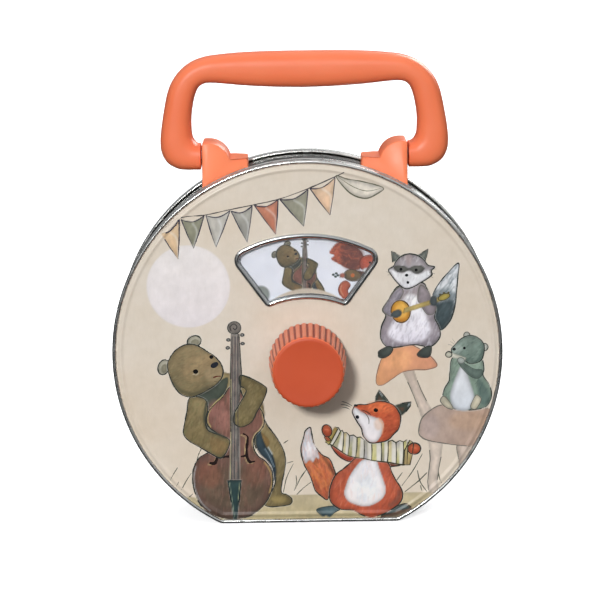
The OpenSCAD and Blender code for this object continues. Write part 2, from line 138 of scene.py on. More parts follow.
def stage():
    """sky, floor, room and lamps"""
    world = bpy.data.worlds.new("studio")
    scene.world = world
    world.use_nodes = True
    t = world.node_tree
    sep = t.nodes.new("ShaderNodeSeparateXYZ")
    ramp = t.nodes.new("ShaderNodeValToRGB")
    t.links.new(t.nodes.new("ShaderNodeTexCoord").outputs["Generated"], sep.inputs[0])
    t.links.new(sep.outputs["Z"], ramp.inputs["Fac"])
    t.links.new(ramp.outputs["Color"], t.nodes["Background"].inputs[0])
    # dim round the horizon and pale overhead, so that bare metal has something dark to mirror
    ramp.color_ramp.elements[0].position = 0.12
    ramp.color_ramp.elements[0].color = (0.14, 0.145, 0.15, 1)
    ramp.color_ramp.elements[1].position = 0.75
    ramp.color_ramp.elements[1].color = (1.3, 1.32, 1.36, 1)
    t.nodes["Background"].inputs[1].default_value = 0.46
    mat = floor_material()
    rows = [(-FLOOR_HALF, 0), (SWEEP_Y, 0)]
    rows += [(SWEEP_Y + SWEEP_R * math.sin(a), SWEEP_R - SWEEP_R * math.cos(a))
             for a in [math.radians(9 * i) for i in range(1, 11)]]
    rows.append((SWEEP_Y + SWEEP_R, SWEEP_TOP))
    gap = 0.0002        # the floor lies this far under the object
    floor = sheet_of("floor", [[(x, y, z - gap) for x in (-FLOOR_HALF, FLOOR_HALF)] for y, z in rows], mat)
    # the stage is seen by the camera, but doesn't light the object and isn't mirrored in it
    floor.visible_diffuse = floor.visible_glossy = False
    # a pale wall all the way round, so that views from the sides and back have a plain ground too
    turns = [math.radians(10 * k) for k in range(37)]
    rows = [[(WALL_R * math.cos(a), WALL_R * math.sin(a), z) for a in turns] for z in (GROUND_Z, WALL_TOP)]
    wall = sheet_of("wall", rows, mat)
    ends = (-GROUND_HALF, GROUND_HALF)
    under = sheet_of("ground", [[(x, y, GROUND_Z) for x in ends] for y in ends], mat)
    for ob in (wall, under):
        ob.visible_glossy = ob.visible_diffuse = ob.visible_shadow = False
    c = (0, MID_Y, 0.09)
    area("key", (-0.38, -1.6, 0.66), c, 0.21, 21.5)
    area("fill", (0.95, -0.9, 0.55), c, 0.8, 1.2)
    area("top", (0.0, 0.25, 1.5), c, 1.0, 2.6)
    area("back", (0.5, 0.85, 0.7), c, 0.6, 8.5)
    area("front", (0.1, -1.7, 0.35), c, 0.9, 1.5)
    scene.view_settings.view_transform = "Standard"


camera()
stage()


# ------------------------------------------------------------------ material toolkit
class Mat:
    """small wrapper: a principled material whose colour, roughness and bump come from procedural nodes"""

    def __init__(self, name, rough, metal=0.0, **sockets):
        self.m = bpy.data.materials.new(name)
        self.m.use_nodes = True
        self.t = self.m.node_tree
        self.b = self.t.nodes["Principled BSDF"]
        self.b.inputs["Roughness"].default_value = rough
        self.b.inputs["Metallic"].default_value = metal
        for k, v in sockets.items():
            self.b.inputs[k.replace("_", " ")].default_value = v

    def n(self, kind, **props):
        """a new shader node with its properties set"""
        node = self.t.nodes.new("ShaderNode" + kind)
        for k, v in props.items():
            setattr(node, k, v)
        return node

    def link(self, a, b):
        self.t.links.new(a, b)

    def coords(self, scale=(1, 1, 1)):
        """the object's own coordinates, stretched"""
        tc = self.n("TexCoord")
        mp = self.n("Mapping")
        mp.inputs["Scale"].default_value = scale
        self.link(tc.outputs["Object"], mp.inputs["Vector"])
        return mp.outputs["Vector"]

    def noise(self, scale, detail, rough=0.55, vec=None):
        nz = self.n("TexNoise")
        nz.inputs["Scale"].default_value = scale
        nz.inputs["Detail"].default_value = detail
        nz.inputs["Roughness"].default_value = rough
        self.link(vec or self.coords(), nz.inputs["Vector"])
        return nz.outputs["Fac"]

    def ramp(self, fac, stops):
        """a colour ramp through (place, colour) stops"""
        r = self.n("ValToRGB")
        el = r.color_ramp.elements
        while len(el) < len(stops):
            el.new(0.5)
        for e, (p, c) in zip(el, stops):
            e.position = p
            e.color = tuple(c) + ((1,) if len(c) == 3 else ())
        self.link(fac, r.inputs["Fac"])
        return r.outputs["Color"]

    def span(self, fac, lo, hi, a, b):
        """a..b mapped to lo..hi"""
        mr = self.n("MapRange")
        mr.inputs["From Min"].default_value = a
        mr.inputs["From Max"].default_value = b
        mr.inputs["To Min"].default_value = lo
        mr.inputs["To Max"].default_value = hi
        self.link(fac, mr.inputs["Value"])
        return mr.outputs["Result"]

    def mix(self, fac, a, b, mode="MIX"):
        """two colours or sockets mixed"""
        mx = self.n("Mix", data_type="RGBA", blend_type=mode)
        # sockets 6 and 7 are the colour ones of a Mix node, and output 2 is its colour
        for sock, val in ((mx.inputs[0], fac), (mx.inputs[6], a), (mx.inputs[7], b)):
            if hasattr(val, "is_linked"):
                self.link(val, sock)
            elif isinstance(val, (int, float)):
                sock.default_value = val
            else:
                sock.default_value = tuple(val) + ((1,) if len(val) == 3 else ())
        return mx.outputs[2]

    def color(self, sock):
        self.link(sock, self.b.inputs["Base Color"])

    def rough(self, sock):
        self.link(sock, self.b.inputs["Roughness"])

    def bump(self, height, strength, distance):
        bp = self.n("Bump")
        bp.inputs["Strength"].default_value = strength
        bp.inputs["Distance"].default_value = distance
        self.link(height, bp.inputs["Height"])
        self.link(bp.outputs["Normal"], self.b.inputs["Normal"])


def lin(r, g, b):
    """sRGB 0-255 to linear"""
    return tuple(((c / 255) / 12.92 if c <= 10.31 else ((c / 255 + 0.055) / 1.055) ** 2.4) for c in (r, g, b))


def plastic(name, base, deep, rough):
    """moulded plastic: a slow drift from base to deep and a fine grain"""
    m = Mat(name, rough, Subsurface_Weight=0.06, Subsurface_Scale=0.004, Specular_IOR_Level=0.3)
    m.b.inputs["Subsurface Radius"].default_value = (1.0, 0.3, 0.15)
    cloud = m.noise(38, 3)
    m.color(m.ramp(cloud, [(0.3, base), (0.75, deep)]))
    grain = m.noise(2600, 2, 0.6)
    m.bump(grain, 0.12, 0.00006)
    m.rough(m.span(m.noise(90, 4), rough - 0.06, rough + 0.08, 0.3, 0.7))
    return m.m


def metal(name, base, rough, brushed, spots, wear):
    """bare metal: brushed is the stretch of its grain, wear and spots darken it in patches"""
    m = Mat(name, rough, 1.0)
    streak = m.noise(240, 2, 0.5, m.coords(brushed))
    patch = m.noise(60, 5, 0.6)
    dark = tuple(c * (1 - wear) for c in base)
    tone = m.ramp(patch, [(0.3, base), (0.8, dark)])
    grime = m.noise(150, 4, 0.6)
    tone = m.mix(m.span(grime, 0, 1, 0.6, 0.85), tone, tuple(c * (1 - spots) for c in base))
    m.color(tone)
    m.rough(m.span(streak, rough - 0.04, rough + 0.06, 0.3, 0.7))
    m.bump(streak, 0.04, 0.00003)
    return m.m


def set_material(node, mat):
    """a finish on every slot of a CAD node"""
    me = nodes[node].data
    if not me.materials:
        me.materials.append(mat)
    for i in range(len(me.materials)):
        me.materials[i] = mat
    for s in nodes[node].material_slots:
        s.material = mat


# ------------------------------------------------------------------ mesh toolkit
def new_object(name, verts, faces, mat, sharp=None):
    me = bpy.data.meshes.new(name)
    me.from_pydata([tuple(v) for v in verts], [], [tuple(f) for f in faces])
    me.validate()
    ob = bpy.data.objects.new(name, me)
    scene.collection.objects.link(ob)
    me.materials.append(mat)
    me.polygons.foreach_set("use_smooth", [True] * len(me.polygons))
    if sharp is not None:
        me.set_sharp_from_angle(angle=math.radians(sharp))
    return ob


def grid_faces(rows, cols, close_rows, close_cols, flip=False):
    """quads over a grid of points stored row by row, closed on itself where asked"""
    out = []
    for i in range(rows if close_rows else rows - 1):
        for j in range(cols if close_cols else cols - 1):
            a, b = i * cols + j, i * cols + (j + 1) % cols
            c, d = ((i + 1) % rows) * cols + (j + 1) % cols, ((i + 1) % rows) * cols + j
            out.append((a, d, c, b) if flip else (a, b, c, d))
    return out


def outward(ob):
    """all faces turned outwards"""
    bm = bmesh.new()
    bm.from_mesh(ob.data)
    bmesh.ops.recalc_face_normals(bm, faces=bm.faces)
    bm.to_mesh(ob.data)
    bm.free()
    return ob


def smooth_to(ob, sharp):
    """smooth shading, broken where two faces meet at more than this angle"""
    ob.data.polygons.foreach_set("use_smooth", [True] * len(ob.data.polygons))
    ob.data.set_sharp_from_angle(angle=math.radians(sharp))
    return ob


def arc_pts(cx, cz, r, a0, a1, n):
    """n + 1 points of an arc from a0 to a1 degrees"""
    return [(cx + r * math.cos(math.radians(a0 + (a1 - a0) * i / n)),
             cz + r * math.sin(math.radians(a0 + (a1 - a0) * i / n))) for i in range(n + 1)]


# case outline: round wall, small corner arcs and the flat, with the inward distance as a field
CORNER = 5.0
CORNER_X = math.sqrt((R - CORNER) ** 2 - (CZ - CORNER) ** 2)
CORNER_A = math.degrees(math.atan2(CORNER - CZ, CORNER_X))
WALL_STEPS, CORNER_STEPS, FLAT_STEPS = 300, 6, 24


def case_path(u):
    """outline set in by u, less than the corner's radius: anticlockwise seen from the front"""
    pts = arc_pts(0, CZ, R - u, CORNER_A, 180 - CORNER_A, WALL_STEPS)
    pts += arc_pts(-CORNER_X, CORNER, CORNER - u, 180 - CORNER_A, 270, CORNER_STEPS)[1:]
    pts += [(-CORNER_X + 2 * CORNER_X * i / FLAT_STEPS, u) for i in range(1, FLAT_STEPS)]
    pts += arc_pts(CORNER_X, CORNER, CORNER - u, -90, CORNER_A, CORNER_STEPS)[:-1]
    return pts


def case_depth(x, z):
    """how far in from the case outline a point lies, mm"""
    round_in = R - np.hypot(x, z - CZ)
    d = np.minimum(round_in, z)
    near = (np.abs(x) > CORNER_X) & (np.degrees(np.arctan2(z - CORNER, np.abs(x) - CORNER_X)) < CORNER_A)
    return np.where(near, np.minimum(d, CORNER - np.hypot(np.abs(x) - CORNER_X, z - CORNER)), d)


def sweep_case(name, section, mat, side=1):
    """closed section of (inward, forward) points run round the case"""
    rings = [case_path(u) for u, v in section]
    verts = []
    for i in range(len(rings[0])):
        for (u, v), ring in zip(section, rings):
            verts.append(at(ring[i][0], side * v, ring[i][1]))
    faces = grid_faces(len(rings[0]), len(section), True, True)
    return outward(new_object(name, verts, faces, mat, sharp=40))


EMBOSS_IN, EMBOSS_HALF, EMBOSS_UP = 3.5, 1.25, 0.5        # ring: set in, half width, height
GROOVE_IN, GROOVE_HALF, GROOVE_DOWN = 1.9, 0.4, 0.15      # groove inside the bead


def relief(u):
    """height of the printed face above its flat: groove at the bead, one embossed ring"""
    ring = np.clip(1 - np.abs(u - EMBOSS_IN) / EMBOSS_HALF, 0, 1)
    groove = np.exp(-((u - GROOVE_IN) / GROOVE_HALF) ** 2)
    return EMBOSS_UP * (3 * ring ** 2 - 2 * ring ** 3) - GROOVE_DOWN * groove


# ------------------------------------------------------------------ painting
def hash2(i, j, seed):
    """the usual sine hash: a fixed number from 0 to 1 for each cell"""
    h = np.sin(i * 127.1 + j * 311.7 + seed * 74.7) * 43758.5453
    return h - np.floor(h)


def noise2(x, y, seed):
    """smooth value noise"""
    i, j = np.floor(x), np.floor(y)
    fx, fy = x - i, y - j
    fx, fy = fx * fx * (3 - 2 * fx), fy * fy * (3 - 2 * fy)
    a = hash2(i, j, seed) * (1 - fx) + hash2(i + 1, j, seed) * fx
    b = hash2(i, j + 1, seed) * (1 - fx) + hash2(i + 1, j + 1, seed) * fx
    return a * (1 - fy) + b * fy


def fbm(x, y, seed, octaves=4):
    """noise in octaves, about -0.5 to 0.5"""
    v, amp, tot = 0, 1.0, 0.0
    for k in range(octaves):
        v = v + amp * noise2(x * 2 ** k, y * 2 ** k, seed + k)
        tot += amp
        amp *= 0.55
    return v / tot - 0.5


def smooth_line(pts, closed, n=8):
    """a curve through the points, n steps between two of them"""
    p = np.array(pts, float)
    k = len(p)
    out = []
    for i in range(k if closed else k - 1):
        if closed:
            a, b, c, d = p[i - 1], p[i], p[(i + 1) % k], p[(i + 2) % k]
        else:
            a, b, c, d = p[max(i - 1, 0)], p[i], p[i + 1], p[min(i + 2, k - 1)]
        for t in np.arange(n) / n:
            out.append(0.5 * (2 * b + (c - a) * t + (2 * a - 5 * b + 4 * c - d) * t * t
                              + (3 * b - a - 3 * c + d) * t ** 3))
    if not closed:
        out.append(p[-1])
    return np.array(out)


def ellipse(x, z, rx, rz, turn=0, n=20):
    c, s = math.cos(math.radians(turn)), math.sin(math.radians(turn))
    return [(x + rx * math.cos(a) * c - rz * math.sin(a) * s, z + rx * math.cos(a) * s + rz * math.sin(a) * c)
            for a in [2 * math.pi * i / n for i in range(n)]]


LINE = 1.65          # weight of every inked line
PAPER = (232, 231, 226.0)      # pale halo round the painted figures
WASH = 0.45          # how fine the paint's wash is


class Sheet:
    """a printed surface: colours at its points, and crisp ink lines laid just above it"""

    def __init__(self, x, z, base):
        self.x, self.z = x, z
        self.c = np.tile(np.array(base, float), (len(x), 1))
        self.lines, self.tones, self.alive = [], [], []
        self.move = (0.0, 0.0, 0.0, 1.0)

    def place(self, x=0.0, z=0.0, turn=0.0, scale=1.0):
        """where the next drawings go"""
        self.move = (x, z, math.radians(turn), scale)

    def to(self, pts):
        """points of a drawing on the sheet"""
        x, z, a, s = self.move
        p = np.array(pts, float) * s
        return np.stack([p[:, 0] * math.cos(a) - p[:, 1] * math.sin(a) + x,
                         p[:, 0] * math.sin(a) + p[:, 1] * math.cos(a) + z], 1)

    def field(self, poly, pad):
        """sheet points near a polygon and how far inside it each lies"""
        lo, hi = poly.min(0) - pad, poly.max(0) + pad
        idx = np.nonzero((self.x > lo[0]) & (self.x < hi[0]) & (self.z > lo[1]) & (self.z < hi[1]))[0]
        px, pz = self.x[idx], self.z[idx]
        inside = np.zeros(len(idx), bool)
        best = np.full(len(idx), 1e9)
        for (ax, az), (bx, bz) in zip(poly, np.roll(poly, -1, 0)):
            dx, dz = bx - ax, bz - az
            cross = (az > pz) != (bz > pz)
            with np.errstate(divide="ignore", invalid="ignore"):
                xi = ax + (pz - az) * dx / dz if dz else np.full(len(idx), -1e9)
            inside ^= cross & (px < xi)
            t = np.clip(((px - ax) * dx + (pz - az) * dz) / max(dx * dx + dz * dz, 1e-9), 0, 1)
            best = np.minimum(best, (px - ax - t * dx) ** 2 + (pz - az - t * dz) ** 2)
        return idx, np.sqrt(best) * np.where(inside, 1, -1)

    def shape(self, pts, col, col2=None, turn=90, smooth=True, edge=0.24, tex=0.13, alpha=1.0, soft=0.3,
              halo=0.0, ink=None, width=0.26):
        """a painted outline: colour running to col2 along turn, darker edge, wash texture"""
        s = self.move[3]
        poly = self.to(smooth_line(pts, True) if smooth else pts)
        idx, d = self.field(poly, halo + 1.0)
        if halo:
            m = np.clip((d + halo) / 0.4, 0, 1) * np.clip(-d / 0.2 + 1, 0, 1) * 0.6
            self.c[idx] += (np.array(PAPER) - self.c[idx]) * m[:, None]
        px, pz = self.x[idx], self.z[idx]
        col = np.array(col, float)
        rgb = np.tile(col, (len(idx), 1))
        if col2 is not None:
            a = math.radians(turn) + self.move[2]
            along = px * math.cos(a) + pz * math.sin(a)
            pa = poly[:, 0] * math.cos(a) + poly[:, 1] * math.sin(a)
            t = np.clip((along - pa.min()) / max(np.ptp(pa), 1e-6), 0, 1)[:, None]
            rgb = rgb * (1 - t) + np.array(col2, float) * t
        g = WASH / max(s, 0.3)
        wash = fbm(px * g * 0.5, pz * g * 0.5, 3) * 1.5 + fbm(px * g * 2.2, pz * g * 1.1, 12) * 0.8
        rgb = rgb * (1 + tex * wash[:, None] * 1.6)
        rgb = rgb * (1 - edge * np.clip(1 - d / (1.7 * s + 0.2), 0, 1) ** 1.5)[:, None]
        m = np.clip(d / soft + 0.5, 0, 1) * alpha
        self.c[idx] += (np.clip(rgb, 0, 255) - self.c[idx]) * m[:, None]
        if alpha > 0.82 and soft < 0.7:
            self.cover(poly)
        if ink:
            self.outline(pts, ink, width, True, smooth)

    def cover(self, poly):
        """ink already laid under a newly painted shape goes"""
        for (a, b), alive in zip(self.lines, self.alive):
            mid = (a + b) / 2
            if (mid.max(0) < poly.min(0)).any() or (mid.min(0) > poly.max(0)).any():
                continue
            inside = np.zeros(len(mid), bool)
            for (ax, az), (bx, bz) in zip(poly, np.roll(poly, -1, 0)):
                if az != bz:
                    across = ax + (mid[:, 1] - az) * (bx - ax) / (bz - az)
                    inside ^= ((az > mid[:, 1]) != (bz > mid[:, 1])) & (mid[:, 0] < across)
            alive[inside] = False

    def ink_runs(self, clear):
        """the ink that is left, cut where clear(x, z) is false"""
        for (a, b), alive, tone in zip(self.lines, self.alive, self.tones):
            mid = (a + b) / 2
            ok = alive & clear(mid[:, 0], mid[:, 1])
            start = None
            for i in range(len(ok) + 1):
                if i < len(ok) and ok[i]:
                    start = i if start is None else start
                elif start is not None:
                    if i - start > 1:
                        yield a[start:i], b[start:i], tone
                    start = None

    def outline(self, pts, tone, width, closed=False, smooth=True, taper=False):
        """an ink line of slightly uneven weight"""
        p = self.to(smooth_line(pts, closed, 7) if smooth else pts)
        if closed:
            p = np.vstack([p, p[:1]])
        wob = fbm(p[:, 0] * 0.35, p[:, 1] * 0.35, 41, 3)
        w = LINE * width * (1 + 1.5 * wob)
        if taper:
            w = w * np.sin(np.linspace(0.12, 0.92, len(p)) * math.pi) ** 0.6
        w = np.maximum(w, 0.08) * (0.6 + 0.4 * self.move[3])
        t = np.gradient(p, axis=0)
        if closed:
            t[0] = t[-1] = p[1] - p[-2]
        n = np.stack([-t[:, 1], t[:, 0]], 1) / np.maximum(np.hypot(t[:, 0], t[:, 1]), 1e-9)[:, None]
        self.lines.append((p + n * w[:, None] / 2, p - n * w[:, None] / 2))
        self.tones.append(tone)
        self.alive.append(np.ones(len(p), bool))

    def brush(self, pts, col, width, alpha, soft=0.35, mask=None):
        """a soft painted stroke, where mask is a weight at every point of the sheet"""
        p = self.to(smooth_line(pts, False, 5) if len(pts) > 2 else pts)
        w = width * self.move[3] / 2
        lo, hi = p.min(0) - w - soft, p.max(0) + w + soft
        idx = np.nonzero((self.x > lo[0]) & (self.x < hi[0]) & (self.z > lo[1]) & (self.z < hi[1]))[0]
        px, pz = self.x[idx], self.z[idx]
        best = np.full(len(idx), 1e9)
        for (ax, az), (bx, bz) in zip(p[:-1], p[1:]):
            dx, dz = bx - ax, bz - az
            t = np.clip(((px - ax) * dx + (pz - az) * dz) / max(dx * dx + dz * dz, 1e-9), 0, 1)
            best = np.minimum(best, (px - ax - t * dx) ** 2 + (pz - az - t * dz) ** 2)
        m = np.clip((w - np.sqrt(best)) / soft + 0.5, 0, 1) * alpha
        if mask is not None:
            m = m * mask[idx]
        self.c[idx] += (np.array(col, float) - self.c[idx]) * m[:, None]

    def fur(self, pts, cols, count, length, turn, width=0.5, alpha=0.35, seed=5, spread=25):
        """short painted strokes scattered inside an outline"""
        rng = np.random.default_rng(seed)
        poly = self.to(smooth_line(pts, True, 5))
        idx, d = self.field(poly, 1.0)
        mask = np.zeros(len(self.x))
        mask[idx] = np.clip(d / 0.5, 0, 1)
        seeds = idx[d > 0.2]
        if not len(seeds):
            return
        s = self.move[3]
        keep, self.move = self.move, (0.0, 0.0, 0.0, s)
        for k in rng.integers(len(seeds), size=int(count * 0.62)):
            x, z = self.x[seeds[k]] / s, self.z[seeds[k]] / s
            a = math.radians(turn + rng.uniform(-spread, spread)) + keep[2]
            ln = length * rng.uniform(0.6, 1.3)
            self.brush([(x, z), (x + ln * math.cos(a), z + ln * math.sin(a))], cols[rng.integers(len(cols))],
                       width, alpha * 0.8, 0.3, mask)
        self.move = keep

    def dot(self, x, z, rx, rz, tone, turn=0):
        """solid round spot, drawn as crisp geometry"""
        p = self.to(ellipse(x, z, rx, rz, turn, 18))
        self.lines.append((p[:10], np.vstack([p[0:1], p[:9:-1], p[9:10]])))
        self.tones.append(tone)
        self.alive.append(np.ones(10, bool))

    def rgba(self):
        """linear colours with alpha"""
        c = np.clip(self.c, 0, 255) / 255
        return np.column_stack([np.where(c <= 0.0404, c / 12.92, ((c + 0.055) / 1.055) ** 2.4),
                                np.ones(len(c))])


def paint_attribute(ob, rgba):
    """the print as a colour on each point"""
    layer = ob.data.color_attributes.new("print", "FLOAT_COLOR", "POINT")
    layer.data.foreach_set("color", np.asarray(rgba, np.float32).ravel())


INK_DOWN, INK_UP, INK_STEP, INK_TURNS = 0.03, 0.02, 0.03, 400     # bedding, height and its small steps, mm


def ink_object(name, sheet, height, clear, mat):
    """every ink line as a thin closed bar bedded in the sheet, a little higher than the one before"""
    verts, faces, cols = [], [], []
    for k, (a, b, tone) in enumerate(sheet.ink_runs(clear)):
        lift = INK_UP + INK_STEP * (k % INK_TURNS) / INK_TURNS
        base = len(verts)
        for p, q in zip(a, b):
            v = float(height(p[0], p[1]))
            verts += [at(p[0], v + lift, p[1]), at(q[0], v + lift, q[1]),
                      at(q[0], v - INK_DOWN, q[1]), at(p[0], v - INK_DOWN, p[1])]
        n = len(a)
        for i in range(n - 1):
            r = base + 4 * i
            faces += [(r + j, r + (j + 1) % 4, r + 4 + (j + 1) % 4, r + 4 + j) for j in range(4)]
        faces += [(base, base + 3, base + 2, base + 1), tuple(base + 4 * (n - 1) + j for j in range(4))]
        cols += [lin(*tone) + (1,)] * (4 * n)
    ob = new_object(name, verts, faces, mat, sharp=40)
    paint_attribute(ob, cols)
    return outward(ob)


def print_material(name, rough, spec):
    """printed tinplate: the colours of the print under a faint mottle and paper grain"""
    m = Mat(name, rough, Specular_IOR_Level=spec)
    a = m.n("Attribute", attribute_name="print", attribute_type="GEOMETRY")
    mottle = m.ramp(m.noise(210, 5, 0.6), [(0.25, (0.94, 0.935, 0.92)), (0.75, (1.0, 1.0, 1.0))])
    fibre = m.ramp(m.noise(1500, 3, 0.7, m.coords((1, 1, 0.25))),
                   [(0.2, (0.95, 0.95, 0.95)), (0.8, (1.0, 1.0, 1.0))])
    m.color(m.mix(1.0, m.mix(1.0, a.outputs["Color"], mottle, "MULTIPLY"), fibre, "MULTIPLY"))
    m.rough(m.span(m.noise(130, 4), rough - 0.05, rough + 0.09, 0.3, 0.7))
    m.bump(m.noise(1800, 2), 0.05, 0.00004)
    return m.m


# ------------------------------------------------------------------ case
RIM_U = 0.35          # skirt's outer side, set in from the bead and hem
SHEET = 0.5           # thickness of the covers
HEM_R = 0.55
HEM_V = FACE - 8 + HEM_R
PLATE_IN = 0.85       # the pressed face starts this far in from the outline


def rim_section():
    """rolled hem, skirt and rolled bead as one closed section of (inward, forward) points"""
    hem = arc_pts(HEM_R, HEM_V, HEM_R, 57, -249, 12)
    bead = arc_pts(BEAD, FACE, BEAD, 236, -60, 16)
    wall = [(RIM_U, HEM_V + (FACE - HEM_V) * k / 4) for k in (1, 2, 3)]
    inner = [(RIM_U + SHEET, HEM_V + (FACE - HEM_V) * k / 4) for k in (3, 2, 1)]
    return hem + wall + bead + inner


class Window:
    """rounded fan window: a path set in by d, and the inward distance of points"""
    lean = 36                  # degrees of the straight sides
    steps = 10
    side_at = (23.1, 100.0)
    outer = (62.0, 59.0)
    inner = (53.8, 40.0)
    corner = (5.0, 2.6)

    def corner_at(self, cz, r, k):
        """centre of a corner of radius k between a straight side and the arc of radius r about cz"""
        dx, dz = math.sin(math.radians(self.lean)), math.cos(math.radians(self.lean))
        px = self.side_at[0] - dz * k
        pz = self.side_at[1] + dx * k - cz
        b = px * dx + pz * dz
        t = -b + math.sqrt(b * b - px * px - pz * pz + r * r)
        return (px + dx * t, cz + pz + dz * t)

    def path(self, d):
        """the outline set in by d"""
        zo, ro = self.outer
        zi, ri = self.inner
        top_r, low_r = self.corner
        top = self.corner_at(zo, ro - top_r, top_r)
        low = self.corner_at(zi, ri + low_r, low_r)
        top_a = math.degrees(math.atan2(top[1] - zo, top[0]))
        low_a = math.degrees(math.atan2(low[1] - zi, low[0]))
        sharpest = 0.05
        right = arc_pts(0, zi, ri + d, 90, low_a, 4 * self.steps)
        right += arc_pts(*low, max(low_r - d, sharpest), low_a - 180, -self.lean, self.steps)[1:]
        right += arc_pts(*top, max(top_r - d, sharpest), -self.lean, top_a, self.steps)
        right += arc_pts(0, zo, ro - d, top_a, 90, 5 * self.steps)[1:]
        return right + [(-x, z) for x, z in right[-2:0:-1]]

    def depth(self, x, z):
        """distance in from the outline, less than 0 outside it"""
        poly = np.array(self.path(0))
        inside = np.zeros(x.shape, bool)
        best = np.full(x.shape, 1e9)
        for (ax, az), (bx, bz) in zip(poly, np.roll(poly, -1, 0)):
            dx, dz = bx - ax, bz - az
            if abs(dz) > 1e-9:
                inside ^= ((az > z) != (bz > z)) & (x < ax + (z - az) * dx / dz)
            t = np.clip(((x - ax) * dx + (z - az) * dz) / (dx * dx + dz * dz + 1e-12), 0, 1)
            best = np.minimum(best, (x - ax - t * dx) ** 2 + (z - az - t * dz) ** 2)
        return np.sqrt(best) * np.where(inside, 1, -1)


window = Window()


def face_plate(name, side, pitch, holes, mat):
    """the pressed sheet of a cover on a regular grid. holes(x, z) is true where metal is cut away"""
    xs = np.arange(-R, R + pitch, pitch)
    zs = np.arange(0, TOP + pitch, pitch)
    gx, gz = np.meshgrid(xs, zs)
    keep = (case_depth(gx, gz) > PLATE_IN) & ~holes(gx, gz)
    cell = keep[:-1, :-1] & keep[1:, :-1] & keep[:-1, 1:] & keep[1:, 1:]
    used = np.zeros(keep.shape, bool)
    for a in (0, 1):
        for b in (0, 1):
            used[a:used.shape[0] - 1 + a, b:used.shape[1] - 1 + b] |= cell
    index = np.full(keep.shape, -1)
    index[used] = np.arange(used.sum())
    x, z = gx[used], gz[used]
    v = FACE + relief(case_depth(x, z))
    verts = np.column_stack([x * MM, MID_Y - side * v * MM, z * MM])
    i, j = np.nonzero(cell)
    quads = np.column_stack([index[i, j], index[i, j + 1], index[i + 1, j + 1], index[i + 1, j]])
    if side < 0:
        quads = quads[:, ::-1]
    ob = new_object(name, verts, quads, mat)
    bm = bmesh.new()
    bm.from_mesh(ob.data)
    rim = [e for e in bm.edges if e.is_boundary]
    out = bmesh.ops.extrude_edge_only(bm, edges=rim)["geom"]
    low = [g for g in out if isinstance(g, bmesh.types.BMVert)]
    for w in low:
        w.co.y = MID_Y - side * (FACE - SHEET) * MM
    edges = [g for g in out if isinstance(g, bmesh.types.BMEdge) and g.is_boundary]
    bmesh.ops.triangle_fill(bm, edges=edges, use_beauty=True, normal=(0, side, 0))
    bm.to_mesh(ob.data)
    bm.free()
    smooth_to(ob, 50)
    co = np.zeros(len(ob.data.vertices) * 3)
    ob.data.vertices.foreach_get("co", co)
    co = co.reshape(-1, 3)
    return ob, co[:, 0] / MM, co[:, 2] / MM


BAND_R, BAND_T, BAND_HALF = 78.7, 0.45, 19.2       # the hoop's outside, thickness and half width


def side_band(mat):
    """thin sheet hoop round the case"""
    cut = R - BAND_R
    section = [(cut, v) for v in (-BAND_HALF, -13.0, -6.0, 0.0, 6.0, 13.0, BAND_HALF)]
    section += [(cut + BAND_T, v) for v in (BAND_HALF, 6.0, -6.0, -BAND_HALF)]
    return sweep_case("band", section, mat)


def bezel(mat):
    """rounded lip and neck of the window frame"""
    # how far in, how far forward of the face
    lip = [(0.0, 0.02), (0.0, 0.22), (0.12, 0.45), (0.38, 0.68), (0.75, 0.79), (1.0, 0.8), (1.25, 0.79),
           (1.62, 0.68), (1.88, 0.45), (2.0, 0.22), (2.0, -0.05), (1.72, -0.12), (1.65, -0.4),
           (1.65, -1.3), (2.3, -1.3), (2.3, -1.6), (1.1, -1.6), (1.1, 0.02)]
    rings = [window.path(d) for d, _ in lip]
    verts = [at(ring[i][0], FACE + v, ring[i][1])
             for i in range(len(rings[0])) for ring, (_, v) in zip(rings, lip)]
    faces = grid_faces(len(rings[0]), len(lip), True, True)
    return outward(new_object("bezel", verts, faces, mat, sharp=42))


def lens(mat):
    """clear window, edge rounded a little, set under the lip"""
    prof = [(1.72, -1.15), (1.72, -0.2), (1.8, -0.12)]
    rings = [window.path(d) for d, _ in prof]
    n = len(rings[0])
    verts = [at(r[i][0], FACE + v, r[i][1]) for r, (_, v) in zip(rings, prof) for i in range(n)]
    faces = [(k * n + i, k * n + (i + 1) % n, (k + 1) * n + (i + 1) % n, (k + 1) * n + i)
             for k in range(2) for i in range(n)]
    faces += [tuple(range(2 * n, 3 * n)), tuple(range(n - 1, -1, -1))]
    return outward(new_object("lens", verts, faces, mat, sharp=30))


# ------------------------------------------------------------------ knob
KNOB_BACK, KNOB_FRONT = HALF + 0.2, (MID_Y - knob_box[0][1]) / MM
KNOB_R0 = (knob_box[1][0] - knob_box[0][0]) / 2 / MM       # radius at the back, over the ribs
KNOB_R1 = 14.7                                             # radius at the front
KNOB_TAPER = (KNOB_R0 - KNOB_R1) / (KNOB_FRONT - KNOB_BACK)
RIBS, RIB_STEPS = 36, 10
RIB_UP, RIB_HALF = 0.58, 0.36              # a rib's height in mm, and half its share of the pitch


